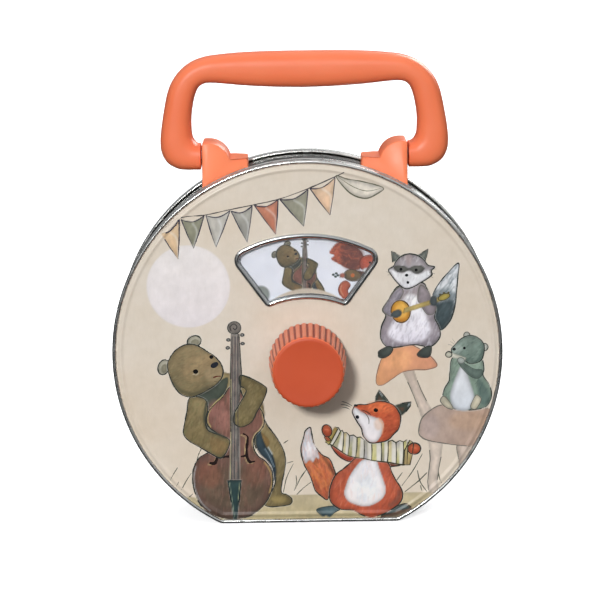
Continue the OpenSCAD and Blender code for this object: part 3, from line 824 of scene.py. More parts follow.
def knob(mat):
    """tapered knob: rounded ribs, a smooth shoulder and a shallow dished front"""
    # radius, forward, and how much of the rib's height stands there
    prof = [(2.1, 22.3, 0), (6.0, 22.3, 0), (13.6, 22.3, 0), (14.9, 22.32, 0), (15.2, 22.5, 0.25)]
    prof.append((15.42, 22.8, 0.8))
    for v in np.linspace(23.4, 43.6, 12):
        prof.append((KNOB_R0 - 0.62 - KNOB_TAPER * (v - KNOB_BACK), v, 1.0))
    prof += [(14.25, 44.3, 0.9), (14.24, 44.9, 0.7), (14.22, 45.3, 0.45), (14.2, 45.6, 0.2),
             (14.12, 45.95, 0.04), (13.9, 46.28, 0), (13.5, 46.46, 0), (13.0, 46.5, 0),
             (12.0, 46.42, 0), (8.0, 46.3, 0), (4.0, 46.24, 0), (0.02, 46.2, 0)]
    verts = []
    steps = RIBS * RIB_STEPS
    for r, v, share in prof:
        for k in range(steps):
            a = 2 * math.pi * k / steps
            across = (k % RIB_STEPS) / RIB_STEPS - 0.5
            rib = math.sqrt(max(0.0, 1 - (across / RIB_HALF) ** 2))
            out = r + share * RIB_UP * rib
            verts.append(at(out * math.cos(a), v, AXIS_Z + out * math.sin(a)))
    ob = new_object("knob_body", verts, grid_faces(len(prof), steps, False, True), mat)
    bm = bmesh.new()
    bm.from_mesh(ob.data)
    bmesh.ops.holes_fill(bm, edges=[e for e in bm.edges if e.is_boundary], sides=0)
    bmesh.ops.recalc_face_normals(bm, faces=bm.faces)
    bm.to_mesh(ob.data)
    bm.free()
    return smooth_to(ob, 48)


# ------------------------------------------------------------------ brackets
SEAT_R = 78.72                          # the feet stand a hair above the hoop
BLOCK_IN, BLOCK_OUT = 23.3, 42.0        # across, from the middle of the case
BLOCK_HALF, BLOCK_ROUND = 11.0, 4.5     # half its depth, and the rounded corner of its inner end
BLOCK_MID = np.array([33.5, 150.5])
KNUCKLE = (39.4, 148, 9)                # centre and radius of the raised hump
BLOCK_BEVEL = ((0.0, 0.55), (0.16, 0.25), (0.55, 0.0))     # (less depth, less outline) from the face inwards


def seat(x):
    """height of the hoop under a bracket"""
    return CZ + math.sqrt(SEAT_R ** 2 - x * x)


def block_half(x, inset):
    """half the block's depth at x: its inner end is rounded in plan"""
    past = max(0.0, BLOCK_IN + BLOCK_ROUND - x)
    return BLOCK_HALF - inset - (BLOCK_ROUND - math.sqrt(max(BLOCK_ROUND ** 2 - past * past, 0.0)))


def bracket(name, side, mat):
    """saddle block with its hinge knuckle, seated on the band"""
    pts = [(x, seat(x)) for x in np.linspace(BLOCK_IN, BLOCK_OUT, 26)]
    pts += [(BLOCK_OUT, 150.0), (BLOCK_OUT, 156.1), (41.74, 156.74), (41.1, 157.0), (39.4, 157.0)]
    cx, cz, r = KNUCKLE
    pts += [(cx + r * math.cos(a), cz + r * math.sin(a)) for a in np.radians(np.linspace(94, 163.9, 14))]
    pts += [(30.75, 150.5), (28.0, 150.5), (24.0, 150.5), (23.5, 150.4), (BLOCK_IN, 150.0)]
    rings = []
    for inset, shrink in BLOCK_BEVEL:
        ring = []
        for x, z in pts:
            q = np.array([x, z])
            if z > seat(x) + 0.3:
                d = q - BLOCK_MID
                reach = np.hypot(*d)
                q = BLOCK_MID + d * (reach - shrink) / reach
            ring.append((q[0], q[1], block_half(x, inset)))
        rings.append(ring)
    bm = bmesh.new()
    order = [(r, 1) for r in rings] + [(r, -1) for r in rings[::-1]]
    grid = [[bm.verts.new((side * x * MM, MID_Y + sy * h * MM, z * MM)) for x, z, h in ring]
            for ring, sy in order]
    n = len(pts)
    for a, b in zip(grid, grid[1:]):
        for i in range(n):
            bm.faces.new((a[i], a[(i + 1) % n], b[(i + 1) % n], b[i]))
    bm.faces.new(grid[0])
    bm.faces.new(grid[-1][::-1])
    bmesh.ops.recalc_face_normals(bm, faces=bm.faces)
    me = bpy.data.meshes.new(name)
    bm.to_mesh(me)
    bm.free()
    me.materials.append(mat)
    ob = bpy.data.objects.new(name, me)
    scene.collection.objects.link(ob)
    return smooth_to(ob, 38)


# ------------------------------------------------------------------ handle
HANDLE_PAIRS = [  # outer point, inner point: one half of the hoop from its foot to the middle of the grip
    ((42.6, 145.3), (42.6, 155.9)), ((44.0, 145.3), (43.0, 155.95)), ((45.5, 145.3), (43.4, 156.0)),
    ((49.0, 145.35), (43.9, 156.2)), ((52.4, 145.9), (44.4, 156.5)), ((56.4, 148.2), (45.3, 157.6)),
    ((58.7, 152.2), (46.0, 159.3)), ((59.25, 157.0), (46.3, 162.0)), ((58.75, 162.5), (46.35, 165.4)),
    ((57.95, 167.5), (46.1, 168.7)), ((57.0, 172.5), (45.6, 172.0)), ((55.9, 177.2), (44.9, 175.0)),
    ((53.9, 181.9), (44.0, 177.6)), ((50.6, 186.2), (42.8, 179.5)), ((46.2, 189.5), (41.0, 180.6)),
    ((40.5, 191.6), (38.3, 181.0)), ((33, 192.6), (33, 180.6)), ((24, 193.25), (24, 179.7)),
    ((12, 193.55), (12, 178.95)), ((0, 193.6), (0, 178.65))]
GRIP_STEPS, GRIP_POWER, GRIP_HALF = 40, 2.9, 7.68     # its section is a superellipse of this half depth
GRIP_WAIST, GRIP_WAIST_LONG = 0.25, 26                # a little thinner in the middle of the grip
END_BEVEL = (0.7, 0.18)                               # small bevel at the flat ends


def handle(mat):
    """the hoop between its outer and inner outline, mirrored for the other half"""
    outer = smooth_line([p for p, q in HANDLE_PAIRS], False, 6)
    inner = smooth_line([q for p, q in HANDLE_PAIRS], False, 6)
    half = np.hstack([outer, inner])
    both = np.vstack([half, half[-2::-1] * np.array([-1, 1, -1, 1])])
    verts = []
    count = len(both)
    for k, (ox, oz, ix, iz) in enumerate(both):
        end = min(k, count - 1 - k)
        shut = END_BEVEL[end] if end < len(END_BEVEL) else 0.0
        middle = np.array([(ox + ix) / 2, (oz + iz) / 2])
        reach = np.array([ox - ix, oz - iz]) / 2
        long = np.hypot(*reach)
        reach = reach * (long - shut) / long
        depth = GRIP_HALF - shut - GRIP_WAIST * math.exp(-(((k - count / 2) / GRIP_WAIST_LONG) ** 2))
        for j in range(GRIP_STEPS):
            a = 2 * math.pi * (j + 0.5) / GRIP_STEPS
            p, q = (math.copysign(abs(t) ** (2 / GRIP_POWER), t) for t in (math.cos(a), math.sin(a)))
            c = middle + reach * p
            verts.append((c[0] * MM, MID_Y + depth * q * MM, c[1] * MM))
    faces = grid_faces(count, GRIP_STEPS, False, True)
    faces += [tuple(range(GRIP_STEPS)), tuple(range((count - 1) * GRIP_STEPS, count * GRIP_STEPS))]
    return outward(new_object("handle_body", verts, faces, mat, sharp=50))


# ------------------------------------------------------------------ pieces and their finishes
rim_metal = metal("tinplate_rim", lin(200, 201, 198), 0.27, (1, 1, 1), 0.2, 0.08)
# painted dark reflection: the hoop's bare tinplate gets a dark base colour
band_metal_dark_reflection = metal("tinplate_band", lin(96, 95, 90), 0.2, (0.2, 3, 0.2), 0.3, 0.25)
bezel_metal = metal("tinplate_bezel", lin(192, 194, 194), 0.17, (1, 1, 1), 0.2, 0.12)
orange = plastic("orange_plastic", lin(246, 130, 88), lin(240, 120, 78), 0.38)
# painted light: a lighter copy of the handle's orange plastic, for the brackets
orange_block_lit = plastic("orange_block_plastic", lin(255, 142, 98), lin(250, 132, 88), 0.4)


def knob_plastic():
    """orange plastic with painted shade in the grooves between the ribs, and painted highlights on the rib
    crests and the front edge
    """
    m = Mat("orange_knob_plastic", 0.42, Subsurface_Weight=0.04, Subsurface_Scale=0.003,
            Specular_IOR_Level=0.32)
    m.b.inputs["Subsurface Radius"].default_value = (1.0, 0.3, 0.15)
    sep = m.n("SeparateXYZ")
    m.link(m.coords(), sep.inputs[0])

    def calc(op, a, b):
        node = m.n("Math", operation=op)
        for k, val in enumerate((a, b)):
            if isinstance(val, (int, float)):
                node.inputs[k].default_value = val
            else:
                m.link(val, node.inputs[k])
        return node.outputs[0]

    up = calc("SUBTRACT", sep.outputs["Z"], AXIS_Z * MM)
    rad = calc("SQRT", calc("ADD", calc("MULTIPLY", sep.outputs["X"], sep.outputs["X"]),
                            calc("MULTIPLY", up, up)), 0.0)
    out = calc("MULTIPLY", calc("SUBTRACT", MID_Y - KNOB_BACK * MM, sep.outputs["Y"]), KNOB_TAPER)
    root = calc("ADD", rad, out)
    height = m.span(root, 0, 1, (KNOB_R0 - 0.66) * MM, (KNOB_R0 - 0.2) * MM)
    ribbed = m.span(sep.outputs["Y"], 1, 0, MID_Y - (KNOB_FRONT - 0.9) * MM, MID_Y - (KNOB_FRONT - 1.3) * MM)
    ribbed = calc("SUBTRACT", 1.0, ribbed)
    # painted shade: darker colour towards the root of the ribs, in the grooves
    groove = calc("MULTIPLY", calc("SUBTRACT", 1.0, height), ribbed)
    cloud = m.ramp(m.noise(38, 3), [(0.3, lin(206, 86, 50)), (0.75, lin(196, 78, 44))])
    # painted highlight: lighter colour on the rib crests
    highlit = m.mix(calc("MULTIPLY", height, ribbed), cloud, lin(234, 136, 104))
    # painted highlight on the moulded edge of the front, where it catches the light
    edge = calc("MULTIPLY", m.span(rad, 0, 1, 13.75 * MM, 14.2 * MM), calc("SUBTRACT", 1.0, ribbed))
    highlit = m.mix(edge, highlit, lin(240, 124, 86))
    m.color(m.mix(groove, highlit, lin(138, 52, 36)))
    m.rough(m.span(m.noise(90, 4), 0.36, 0.5, 0.3, 0.7))
    m.bump(m.noise(2600, 2, 0.6), 0.1, 0.00005)
    return m.m


orange_knob = knob_plastic()
ink_mat = print_material("printed_ink", 0.5, 0.12)
print_mat = print_material("printed_tin", 0.36, 0.3)

clear = Mat("clear_window", 0.06, Alpha=0.035, IOR=1.45)
clear.color(clear.ramp(clear.noise(30, 3), [(0.3, (0.72, 0.75, 0.76)), (0.8, (0.6, 0.64, 0.66))]))
clear.rough(clear.span(clear.noise(160, 5), 0.02, 0.09, 0.3, 0.8))

KNOB_HOLE = 2.6                        # radius of the hole in the face, all under the knob
FRONT_PITCH, BACK_PITCH = 0.44, 0.8    # the printed sheets' grids, mm

for side, part, tag in ((1, "front_cover", "front"), (-1, "back_cover", "back")):
    rim = sweep_case(tag + "_rim", rim_section(), rim_metal, side)
    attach(rim, "case")
    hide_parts(part)



def face_holes(x, z):
    """where the face is cut away: inside the window frame and round the shaft"""
    return (window.depth(x, z) > 0.5) | (np.hypot(x, z - AXIS_Z) < KNOB_HOLE)


front, front_x, front_z = face_plate("front_print", 1, FRONT_PITCH, face_holes, print_mat)
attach(front, "case")
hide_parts("front_cover")

band = side_band(band_metal_dark_reflection)
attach(band, "case")
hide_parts("side_band")
frame_ring = bezel(bezel_metal)
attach(frame_ring, "case")
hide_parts("window_bezel")
pane = lens(clear.m)
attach(pane, "case")
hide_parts("window_lens")
grip = handle(orange)
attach(grip, "handle")
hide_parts("handle")
knob_body = knob(orange_knob)
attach(knob_body, "knob")
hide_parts("knob")
for side, part in ((-1, "left_bracket"), (1, "right_bracket")):
    block = bracket(part + "_block", side, orange_block_lit)
    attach(block, "case")
    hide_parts(part)

back, back_x, back_z = face_plate("back_print", -1, BACK_PITCH, lambda x, z: np.zeros(x.shape, bool),
                                  print_mat)
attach(back, "case")
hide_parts("back_cover")


# ------------------------------------------------------------------ printed artwork
# own drawings, in mm on the face: across from its middle and up from the foot
INK, SOFT_INK = (52, 56, 52), (112, 110, 102)
WHITE = (250, 252, 255)


def ground(s):
    """the band of ground along the foot"""
    s.shape([(-90, -2), (90, -2), (90, 12.4), (-90, 11.0)], (186, 172, 132), (206, 191, 158), 90, False, 0.05,
            0.08, 1, 0.5)


def grass(s, blades):
    """bent blades, each from its root to its tip"""
    for x0, z0, x1, z1, bend in blades:
        mx, mz = (x0 + x1) / 2 - bend * (z1 - z0) * 0.3, (z0 + z1) / 2 + bend * (x1 - x0) * 0.3
        s.outline([(x0, z0), (mx, mz), (x1, z1)], (88, 92, 80), 0.23, taper=True)


def bear(s):
    coat, coat2 = (128, 113, 78), (150, 134, 96)
    leg = [(-19, 44), (-16.6, 40.2), (-13.6, 36.1), (-10.8, 31.1), (-9.6, 26.8), (-9.8, 22.5), (-11.1, 16.3),
           (-11.4, 12), (-9.2, 11), (-7.2, 9.2), (-7.6, 7.1), (-10.6, 6.3), (-16.7, 6), (-18.6, 8),
           (-15, 13.3), (-13.8, 19.4), (-16.9, 25.6), (-22, 31.8), (-21.4, 37.9)]
    s.shape(leg, coat, coat2, 90, halo=0.5, ink=INK)
    s.fur(leg, [(162, 148, 108), (98, 88, 58)], 130, 1.8, 70)
    s.shape([(-20.5, 38), (-17.5, 36), (-16, 33.5), (-17, 31.5), (-20, 32.5)], (150, 112, 62), alpha=0.6)
    s.shape([(-16, 9.6), (-12, 11), (-9, 9.6), (-10, 7.6), (-14, 7.2)], (172, 152, 98), alpha=0.7)
    s.shape([(-20.4, 40), (-21.8, 34.2), (-20.6, 29.3), (-17.2, 25.6), (-15.2, 22.5), (-14.3, 17),
             (-13.5, 21.9), (-14.8, 28.1), (-17.3, 31.4), (-18.8, 35)], (44, 60, 74), (64, 82, 88), soft=0.4)
    s.brush([(-18, 30.6), (-16.2, 27.5), (-14.4, 23)], (150, 168, 180), 0.5, 0.7)
    s.brush([(-16.6, 31.2), (-15, 28.4)], (214, 224, 228), 0.5, 0.8)
    # body and shadow behind the instrument
    s.shape([(-37, 62.2), (-31, 62.4), (-26, 61), (-20, 57), (-18.4, 50), (-20, 42), (-40, 40), (-45, 44),
             (-46, 52)], coat, coat2)
    s.shape([(-48.6, 53.2), (-41, 55.4), (-35, 60.2), (-32.6, 60.4), (-34, 54.6), (-38.4, 49.8), (-41.4, 46),
             (-42, 38), (-46, 40), (-47, 48)], (62, 72, 66), (78, 86, 74), 60)
    double_bass(s)
    # near arm and hand
    arm = [(-48.4, 52.8), (-49.9, 46.5), (-51.2, 40.4), (-51.4, 37.4), (-49.4, 34.6), (-44.7, 31.6),
           (-40.4, 29), (-36.5, 27), (-34.2, 29), (-32.4, 33.4), (-33.2, 35.2), (-36, 36.6), (-39.4, 37.8),
           (-41.6, 39.2), (-42.2, 43), (-41.2, 48), (-42.5, 52)]
    s.shape(arm, coat, coat2, 60, halo=0.5, ink=INK)
    s.fur(arm, [(164, 148, 108), (96, 86, 56), (120, 124, 84)], 260, 1.7, 250)
    s.shape([(-40, 36), (-36, 34.6), (-33.4, 33), (-34.6, 29.6), (-37, 28.4), (-40, 30.6)], (166, 124, 78),
            alpha=0.35)
    s.brush([(-41.8, 50), (-42.6, 44), (-41.6, 39.8), (-38, 37.6), (-34, 35.6)], (56, 62, 52), 0.9, 0.75)
    # far arm over the neck of the instrument
    far = [(-27.6, 61.6), (-22.8, 60.2), (-17.6, 57), (-16.9, 55.2), (-18.4, 50.9), (-20.9, 46.5),
           (-23.4, 42), (-27.7, 40), (-30.6, 42), (-30.2, 45.9), (-28.2, 49.6), (-25.4, 54.6), (-26, 56.4),
           (-27.6, 57.4)]
    s.shape(far, (136, 122, 84), (120, 108, 74), 60, ink=INK)
    s.fur(far, [(168, 152, 112), (96, 88, 58)], 160, 1.6, 240)
    s.brush([(-30, 46), (-28, 50), (-25.2, 55)], (206, 204, 178), 0.45, 0.85)
    s.brush([(-24.6, 60.4), (-20, 57.6), (-18.6, 54)], (92, 84, 56), 0.8, 0.5)
    # head
    for x, z, rx, rz, turn in ((-46.2, 76.2, 2.9, 2.3, 20), (-58.9, 65.6, 2.3, 3.2, -20)):
        s.shape(ellipse(x, z, rx, rz, turn), (170, 166, 148), (186, 182, 164), halo=0.6, ink=INK)
        s.shape(ellipse(x + 0.3, z - 0.5, rx * 0.6, rz * 0.6, turn), (128, 124, 104), alpha=0.75)
    head = [(-57.1, 67.8), (-54.4, 72.1), (-51.1, 74.4), (-47.7, 75.1), (-44.1, 74), (-41, 71.9), (-38.2, 70),
            (-35.7, 67.2), (-34.6, 63.9), (-35.2, 60.9), (-37.6, 58), (-41, 55.8), (-44.7, 53.9),
            (-48.3, 52.9), (-52, 54.1), (-54.5, 57), (-56.2, 60.7), (-57.2, 64.4)]
    s.shape(head, (118, 106, 76), (152, 134, 100), 70, halo=0.5, ink=INK)
    s.shape(ellipse(-44.6, 65, 7.4, 5.2, 25), (166, 140, 104), alpha=0.5, soft=2.2, edge=0)
    s.shape(ellipse(-38.4, 62.6, 3.6, 3.2, 20), (168, 148, 116), alpha=0.6, soft=1.6, edge=0)
    s.fur(head, [(168, 150, 112), (102, 92, 66), (140, 120, 92), (120, 122, 92)], 420, 1.5, 205, 0.4, 0.32)
    s.brush([(-55, 58.6), (-51.5, 55.4), (-46.5, 54.4), (-41, 57)], (82, 80, 60), 1.2, 0.5, 0.8)
    s.brush([(-43.4, 74.2), (-40.2, 72)], (226, 222, 206), 0.5, 0.9)
    s.dot(-45.9, 63.6, 1.05, 1.0, (12, 12, 12))
    s.brush([(-46.8, 62.6), (-45.6, 62.3), (-44.8, 62.8)], (214, 204, 180), 0.35, 0.9)
    s.dot(-39.3, 69.6, 0.85, 0.8, (12, 12, 12))
    s.dot(-38.1, 66.2, 1.7, 1.1, (36, 40, 48), 25)
    s.brush([(-38.8, 66.4), (-38.2, 66.8)], (170, 178, 190), 0.4, 0.9)
    s.outline([(-38.8, 60.9), (-37.4, 61.4), (-35.6, 61.5)], (96, 44, 38), 0.32, taper=True)
    s.outline([(-38.4, 59.3), (-37, 59.2)], (110, 96, 72), 0.2, taper=True)


def double_bass(s):
    top = [(-31.7, 57.2), (-34.8, 53), (-38.4, 49.6), (-41, 46.5), (-41.8, 42.8), (-40.6, 39.8),
           (-37.6, 37.4), (-36.6, 34), (-38, 31), (-41, 29.6), (-45, 27.4), (-47.2, 23.7), (-48.1, 19.4),
           (-47.7, 14.3), (-45.9, 8.9), (-42.9, 4.6), (-38.6, 2), (-33.1, 0.8), (-27.7, 1.2), (-22.8, 3.2),
           (-18.5, 7.1), (-15.8, 12), (-14.9, 17), (-15.5, 21.9), (-17.9, 25.4), (-20.6, 27.4), (-22.2, 29.9),
           (-22.8, 33), (-22, 36.1), (-19.6, 38.7), (-18.2, 41), (-18.3, 44.7), (-19.8, 47.8), (-22.8, 50.2),
           (-26.4, 52.7), (-28.2, 56.6)]
    s.shape(top, (94, 76, 66), (146, 100, 88), 90, halo=0.5, ink=INK)
    s.shape(ellipse(-31.5, 14.5, 13, 9.5), (104, 92, 74), alpha=0.5, soft=3, edge=0)
    s.shape(ellipse(-37, 45, 4.5, 6.5, 20), (168, 118, 108), alpha=0.6, soft=2.5, edge=0)
    s.shape(ellipse(-41, 20, 5, 5.5, 20), (150, 96, 76), alpha=0.5, soft=2.5, edge=0)
    s.shape(ellipse(-22, 21, 4.5, 6, -20), (140, 90, 74), alpha=0.45, soft=2.5, edge=0)
    s.fur(top, [(176, 128, 112), (76, 58, 50), (128, 84, 74), (110, 98, 84)], 750, 3.2, 84, 0.45, 0.3, 8, 14)
    s.brush([(-34.6, 53.4), (-38.4, 50), (-40.8, 46.4), (-41.4, 42.8), (-40.2, 40.2)], (214, 196, 128), 0.5,
            0.85)
    s.brush([(-19.2, 47.4), (-18.4, 42), (-20, 38.8), (-22.4, 36.2), (-23, 32.6), (-21.8, 29)],
            (220, 202, 150), 0.5, 0.85)
    s.brush([(-18.2, 24.9), (-15.9, 21), (-15.3, 16.6), (-16.4, 12)], (206, 176, 110), 0.5, 0.8)
    s.brush([(-46.6, 23.6), (-47.5, 19), (-47, 13.6), (-44.6, 8.2), (-41, 4.6)], (190, 196, 200), 0.45, 0.75)
    # f-holes, bridge
    for pts in ([(-27, 37.2), (-25, 35.8), (-25.4, 32), (-25.5, 28), (-24.4, 25.3), (-22.2, 25.4)],
                [(-41, 25), (-38.8, 24.9), (-37.6, 27.4)]):
        s.outline(pts, (36, 24, 22), 0.75, taper=True)
        s.brush([(x - 0.7, z - 0.5) for x, z in pts], (216, 200, 140), 0.35, 0.75)
    s.outline([(-36.4, 27.1), (-33.4, 27.6), (-28, 27.5), (-25.6, 28)], (40, 28, 26), 0.55)
    # neck, strings, tailpiece
    neck = [(-31, 79), (-31.7, 61.3), (-32, 37.9), (-32.8, 17.2), (-28.6, 17.2), (-28.2, 50.2),
            (-27.1, 62.6), (-27.8, 79)]
    s.shape(neck, (122, 118, 112), (146, 138, 130), 90, False, tex=0.2, halo=0.35, ink=INK, width=0.2)
    s.fur(neck, [(186, 184, 178), (86, 84, 84), (150, 120, 112)], 160, 4, 89, 0.35, 0.45, 3, 3)
    for x0, x1 in ((-30.6, -32), (-29.4, -30.8), (-28.3, -29.3)):
        s.outline([(x0, 78), (x1, 18)], (70, 70, 74), 0.16, smooth=False)
    s.brush([(-31.5, 60), (-31.8, 38), (-32.5, 18)], (214, 206, 150), 0.35, 0.7)
    s.shape(ellipse(-29.7, 81.6, 2.7, 2.6), (118, 112, 106), (140, 134, 126), halo=0.5, ink=INK)
    s.outline([(-31, 80.4), (-31.4, 82), (-29.8, 83.2), (-28.6, 82), (-29.4, 80.8), (-30.2, 81.6)],
              (64, 62, 62), 0.3)
    for x, z in ((-32.2, 76.6), (-32.5, 73.3), (-26.5, 78.6), (-26.4, 75)):
        s.dot(x, z, 0.95, 0.75, (70, 72, 72))
        s.dot(x, z, 0.4, 0.3, (150, 150, 146))
    tail = [(-33.6, 17.4), (-28, 17.4), (-29.1, 8), (-30, 0.6), (-31.4, 0.6), (-32.2, 8)]
    s.shape(tail, (40, 62, 64), (54, 78, 78), 90, False, halo=0.4, ink=(30, 42, 44))
    s.brush([(-32.9, 16.4), (-31.8, 8), (-31.1, 2)], (176, 188, 160), 0.3, 0.8)
    s.brush([(-28.6, 16.4), (-29.4, 9)], (196, 196, 150), 0.3, 0.8)
    s.outline([(-30.6, 1), (-30.6, -1.2)], (60, 66, 66), 0.6, smooth=False)


def fox(s):
    coat = (186, 88, 60)
    tail = [(1.2, 40.4), (-0.8, 39), (-1.6, 36.2), (-2.7, 32.1), (-2.5, 28.5), (-1.4, 24.5), (0.6, 20.5),
            (1.8, 17.3), (3, 13.6), (5.6, 11), (8, 9.6), (9, 13), (10, 17), (11.4, 20.1), (10.6, 23.3),
            (9, 26.9), (5.8, 28.9), (3.4, 32.1), (2.4, 34.6), (1.8, 37.8)]
    s.shape(tail, (190, 104, 74), (226, 138, 98), 100, halo=0.5, ink=INK)
    s.fur(tail, [(222, 124, 64), (112, 62, 48), (190, 84, 52), (226, 150, 90)], 330, 3.2, 112, 0.55, 0.45,
          4, 16)
    s.brush([(6.6, 27.6), (9, 24), (10.6, 20.6)], (84, 60, 50), 1.0, 0.55, 0.8)
    tip = [(1.2, 40.2), (-0.7, 38.8), (-1.4, 36.2), (-2.4, 32.1), (-2.2, 28.5), (-1, 25.2), (0.8, 26.6),
           (2.2, 25.6), (3.4, 27.6), (4.8, 27), (4.2, 30.4), (3, 32.9), (2.2, 34.6), (1.6, 37.8)]
    s.shape(tip, (240, 228, 230), (246, 250, 255), 90)
    s.fur(tip, [(255, 255, 255), (196, 206, 222), (214, 180, 176)], 90, 3, 98, 0.5, 0.5, 6, 10)
    s.shape([(3.4, 5.2), (5.4, 6.3), (10.6, 6.8), (13.5, 5.8), (10.6, 4), (8.8, 2), (7.4, 3), (6, 2.4),
             (4.8, 3.6)], (70, 92, 98), (104, 130, 136), 60, ink=(60, 74, 76), width=0.2)
    s.shape([(30, 2), (32.4, 3.8), (35.6, 5.8), (38.4, 7.1), (41, 7.3), (43, 4.8), (40.3, 2.3), (36.4, 1.3),
             (31, 0.9)], (96, 74, 62), (132, 108, 92), 60, ink=(60, 62, 58), width=0.2)
    s.shape([(31.5, 2), (36, 2.6), (41.5, 4.4), (40, 2.6), (36, 1.6)], (150, 138, 116), alpha=0.8)
    s.shape([(31, 2.8), (33.4, 4.2), (36, 5.9), (38.6, 6.9), (40.8, 6.9), (41.6, 5.4), (38, 4.8),
             (34.6, 3.6)], (62, 84, 88), (92, 116, 118), 60, alpha=0.85)
    # arms under the bellows
    s.shape([(9.8, 32.6), (11.4, 29.7), (14.1, 27.1), (17.3, 25.7), (19.4, 26.6), (18.6, 28), (14.3, 30.1),
             (11.6, 33)], (170, 70, 52), (190, 84, 58), ink=INK)
    s.shape([(32.4, 25.6), (34, 23.5), (36.4, 23.5), (38.6, 24.1), (39, 25.4), (35, 26.4)], (120, 66, 50),
            ink=INK)
    body = [(20.1, 27.3), (17.3, 24.9), (14.5, 22.5), (11.8, 20.5), (9.8, 16.9), (8.8, 12.8), (9, 9.6),
            (10.6, 7.2), (13.7, 5.4), (18.1, 5), (20.5, 3.9), (24.1, 2.1), (27.2, 1.9), (30.4, 3), (34.4, 5),
            (38, 7.8), (39.2, 11.2), (38.4, 14.2), (36.4, 17.5), (34.8, 20.7), (33, 25), (28.4, 27),
            (23.7, 27.5)]
    s.shape(body, coat, (196, 100, 74), 90, halo=0.5, ink=INK)
    s.fur(body, [(228, 138, 104), (152, 68, 52), (212, 116, 88), (174, 98, 92)], 560, 2.4, 75, 0.5, 0.38, 7,
          25)
    s.brush([(34, 7), (37, 9.4), (38, 12.6)], (96, 74, 66), 1.8, 0.45, 1.2)
    belly = [(22.9, 26.4), (19.7, 23.3), (16.9, 18.9), (15.3, 14.4), (14.9, 12), (16.5, 8.9), (20.5, 7),
             (24.5, 6.5), (28.4, 7.9), (31.2, 10.3), (32.2, 13.6), (31.2, 17.7), (29.6, 22.5), (28, 26.2)]
    s.shape(belly, (250, 240, 238), (252, 250, 254), 90, tex=0.04)
    s.shape(ellipse(24, 14, 5, 6), (242, 248, 255), alpha=0.6, soft=3, edge=0)
    s.fur(belly, [(255, 255, 255), (242, 218, 212), (226, 228, 242)], 150, 2.4, 80, 0.5, 0.35, 9, 20)
    accordion(s)
    # head
    for pts, inner in (([(27.8, 50), (28.3, 53), (29.7, 55.8), (31.8, 53.4), (34, 50.4), (31, 49.4)],
                        [(28.9, 50.6), (29.6, 54), (31.4, 51.6)]),
                       ([(35.6, 49), (39.1, 50.1), (42.8, 50.6), (42.6, 48.8), (40.7, 46.4), (38.4, 44.4),
                         (36.6, 46)],
                        [(37.4, 48.2), (40.4, 48.6), (39.4, 46.4)])):
        s.shape(pts, (58, 66, 58), (74, 84, 76), 60, False, soft=0.35, ink=(40, 46, 44), width=0.22)
        s.shape(inner, (118, 82, 62), (98, 84, 70), 60, False, alpha=0.85)
    s.brush([(29.9, 55), (31, 53.2)], (214, 218, 224), 0.35, 0.85)
    s.brush([(42.2, 49.9), (41.6, 48.8)], (196, 206, 214), 0.4, 0.85)
    head = [(19.9, 49.5), (22.1, 49.8), (24.3, 49.7), (26.4, 50.2), (29.6, 51), (32.8, 50.6), (35.8, 49.1),
            (38.1, 45.8), (38.5, 43), (37.7, 39.4), (35.6, 37), (33.2, 34.6), (29.6, 33.6), (25.7, 33.6),
            (23.2, 36.2), (22.6, 38.2), (22.2, 39.8), (20.5, 42.6), (19, 45.4), (18.6, 47), (19.2, 48.6)]
    s.shape(head, coat, (214, 100, 62), 90, halo=0.6, ink=INK)
    s.shape(ellipse(30, 48.4, 5.5, 2.2, -8), (232, 128, 80), alpha=0.6, soft=1.6, edge=0)
    s.fur(head, [(228, 126, 80), (156, 62, 44), (204, 88, 58)], 300, 1.9, 200, 0.45, 0.38, 3, 30)
    cheek = [(19.6, 48.6), (21, 47.8), (22.9, 46.4), (25.4, 45.3), (27.6, 44.4), (30.4, 43.3), (31.5, 41.4),
             (31.2, 39), (30.2, 36.2), (28.4, 33.9), (25.7, 33.8), (23.4, 36.2), (22.8, 38.2), (22.4, 39.8),
             (20.7, 42.6), (19.2, 45.4), (18.8, 47)]
    s.shape(cheek, (246, 238, 240), (250, 250, 254), 100, tex=0.04)
    s.shape(ellipse(29.4, 41.4, 1.8, 2.6), (244, 208, 184), alpha=0.6, soft=1, edge=0)
    s.brush([(29.6, 43.6), (31.2, 41), (30.8, 37.4)], (238, 176, 138), 0.6, 0.7)
    s.outline([(20.9, 47.9), (23.7, 46.2), (25.3, 43.8), (25.4, 41.4)], (110, 96, 96), 0.2, taper=True)
    s.outline([(22.4, 47.6), (24.6, 46.6), (26.2, 45.4)], (96, 62, 52), 0.3, taper=True)
    s.dot(28.3, 47.3, 0.95, 0.8, (16, 14, 12), -10)
    s.brush([(27.2, 46.5), (28.4, 46.3)], (240, 150, 90), 0.3, 0.8)
    s.dot(20.1, 49.4, 0.85, 0.5, (40, 44, 46), -10)
    s.dot(20.7, 44.5, 0.7, 0.8, (26, 26, 36), 30)
    for x0, z0, x1, z1 in ((14.3, 51.2, 18.7, 49.1), (13.9, 49.9, 18, 48.7), (14.5, 48.6, 17.6, 47.8)):
        s.outline([(x0, z0), ((x0 + x1) / 2, (z0 + z1) / 2 + 0.3), (x1, z1)], (96, 100, 92), 0.18, taper=True)


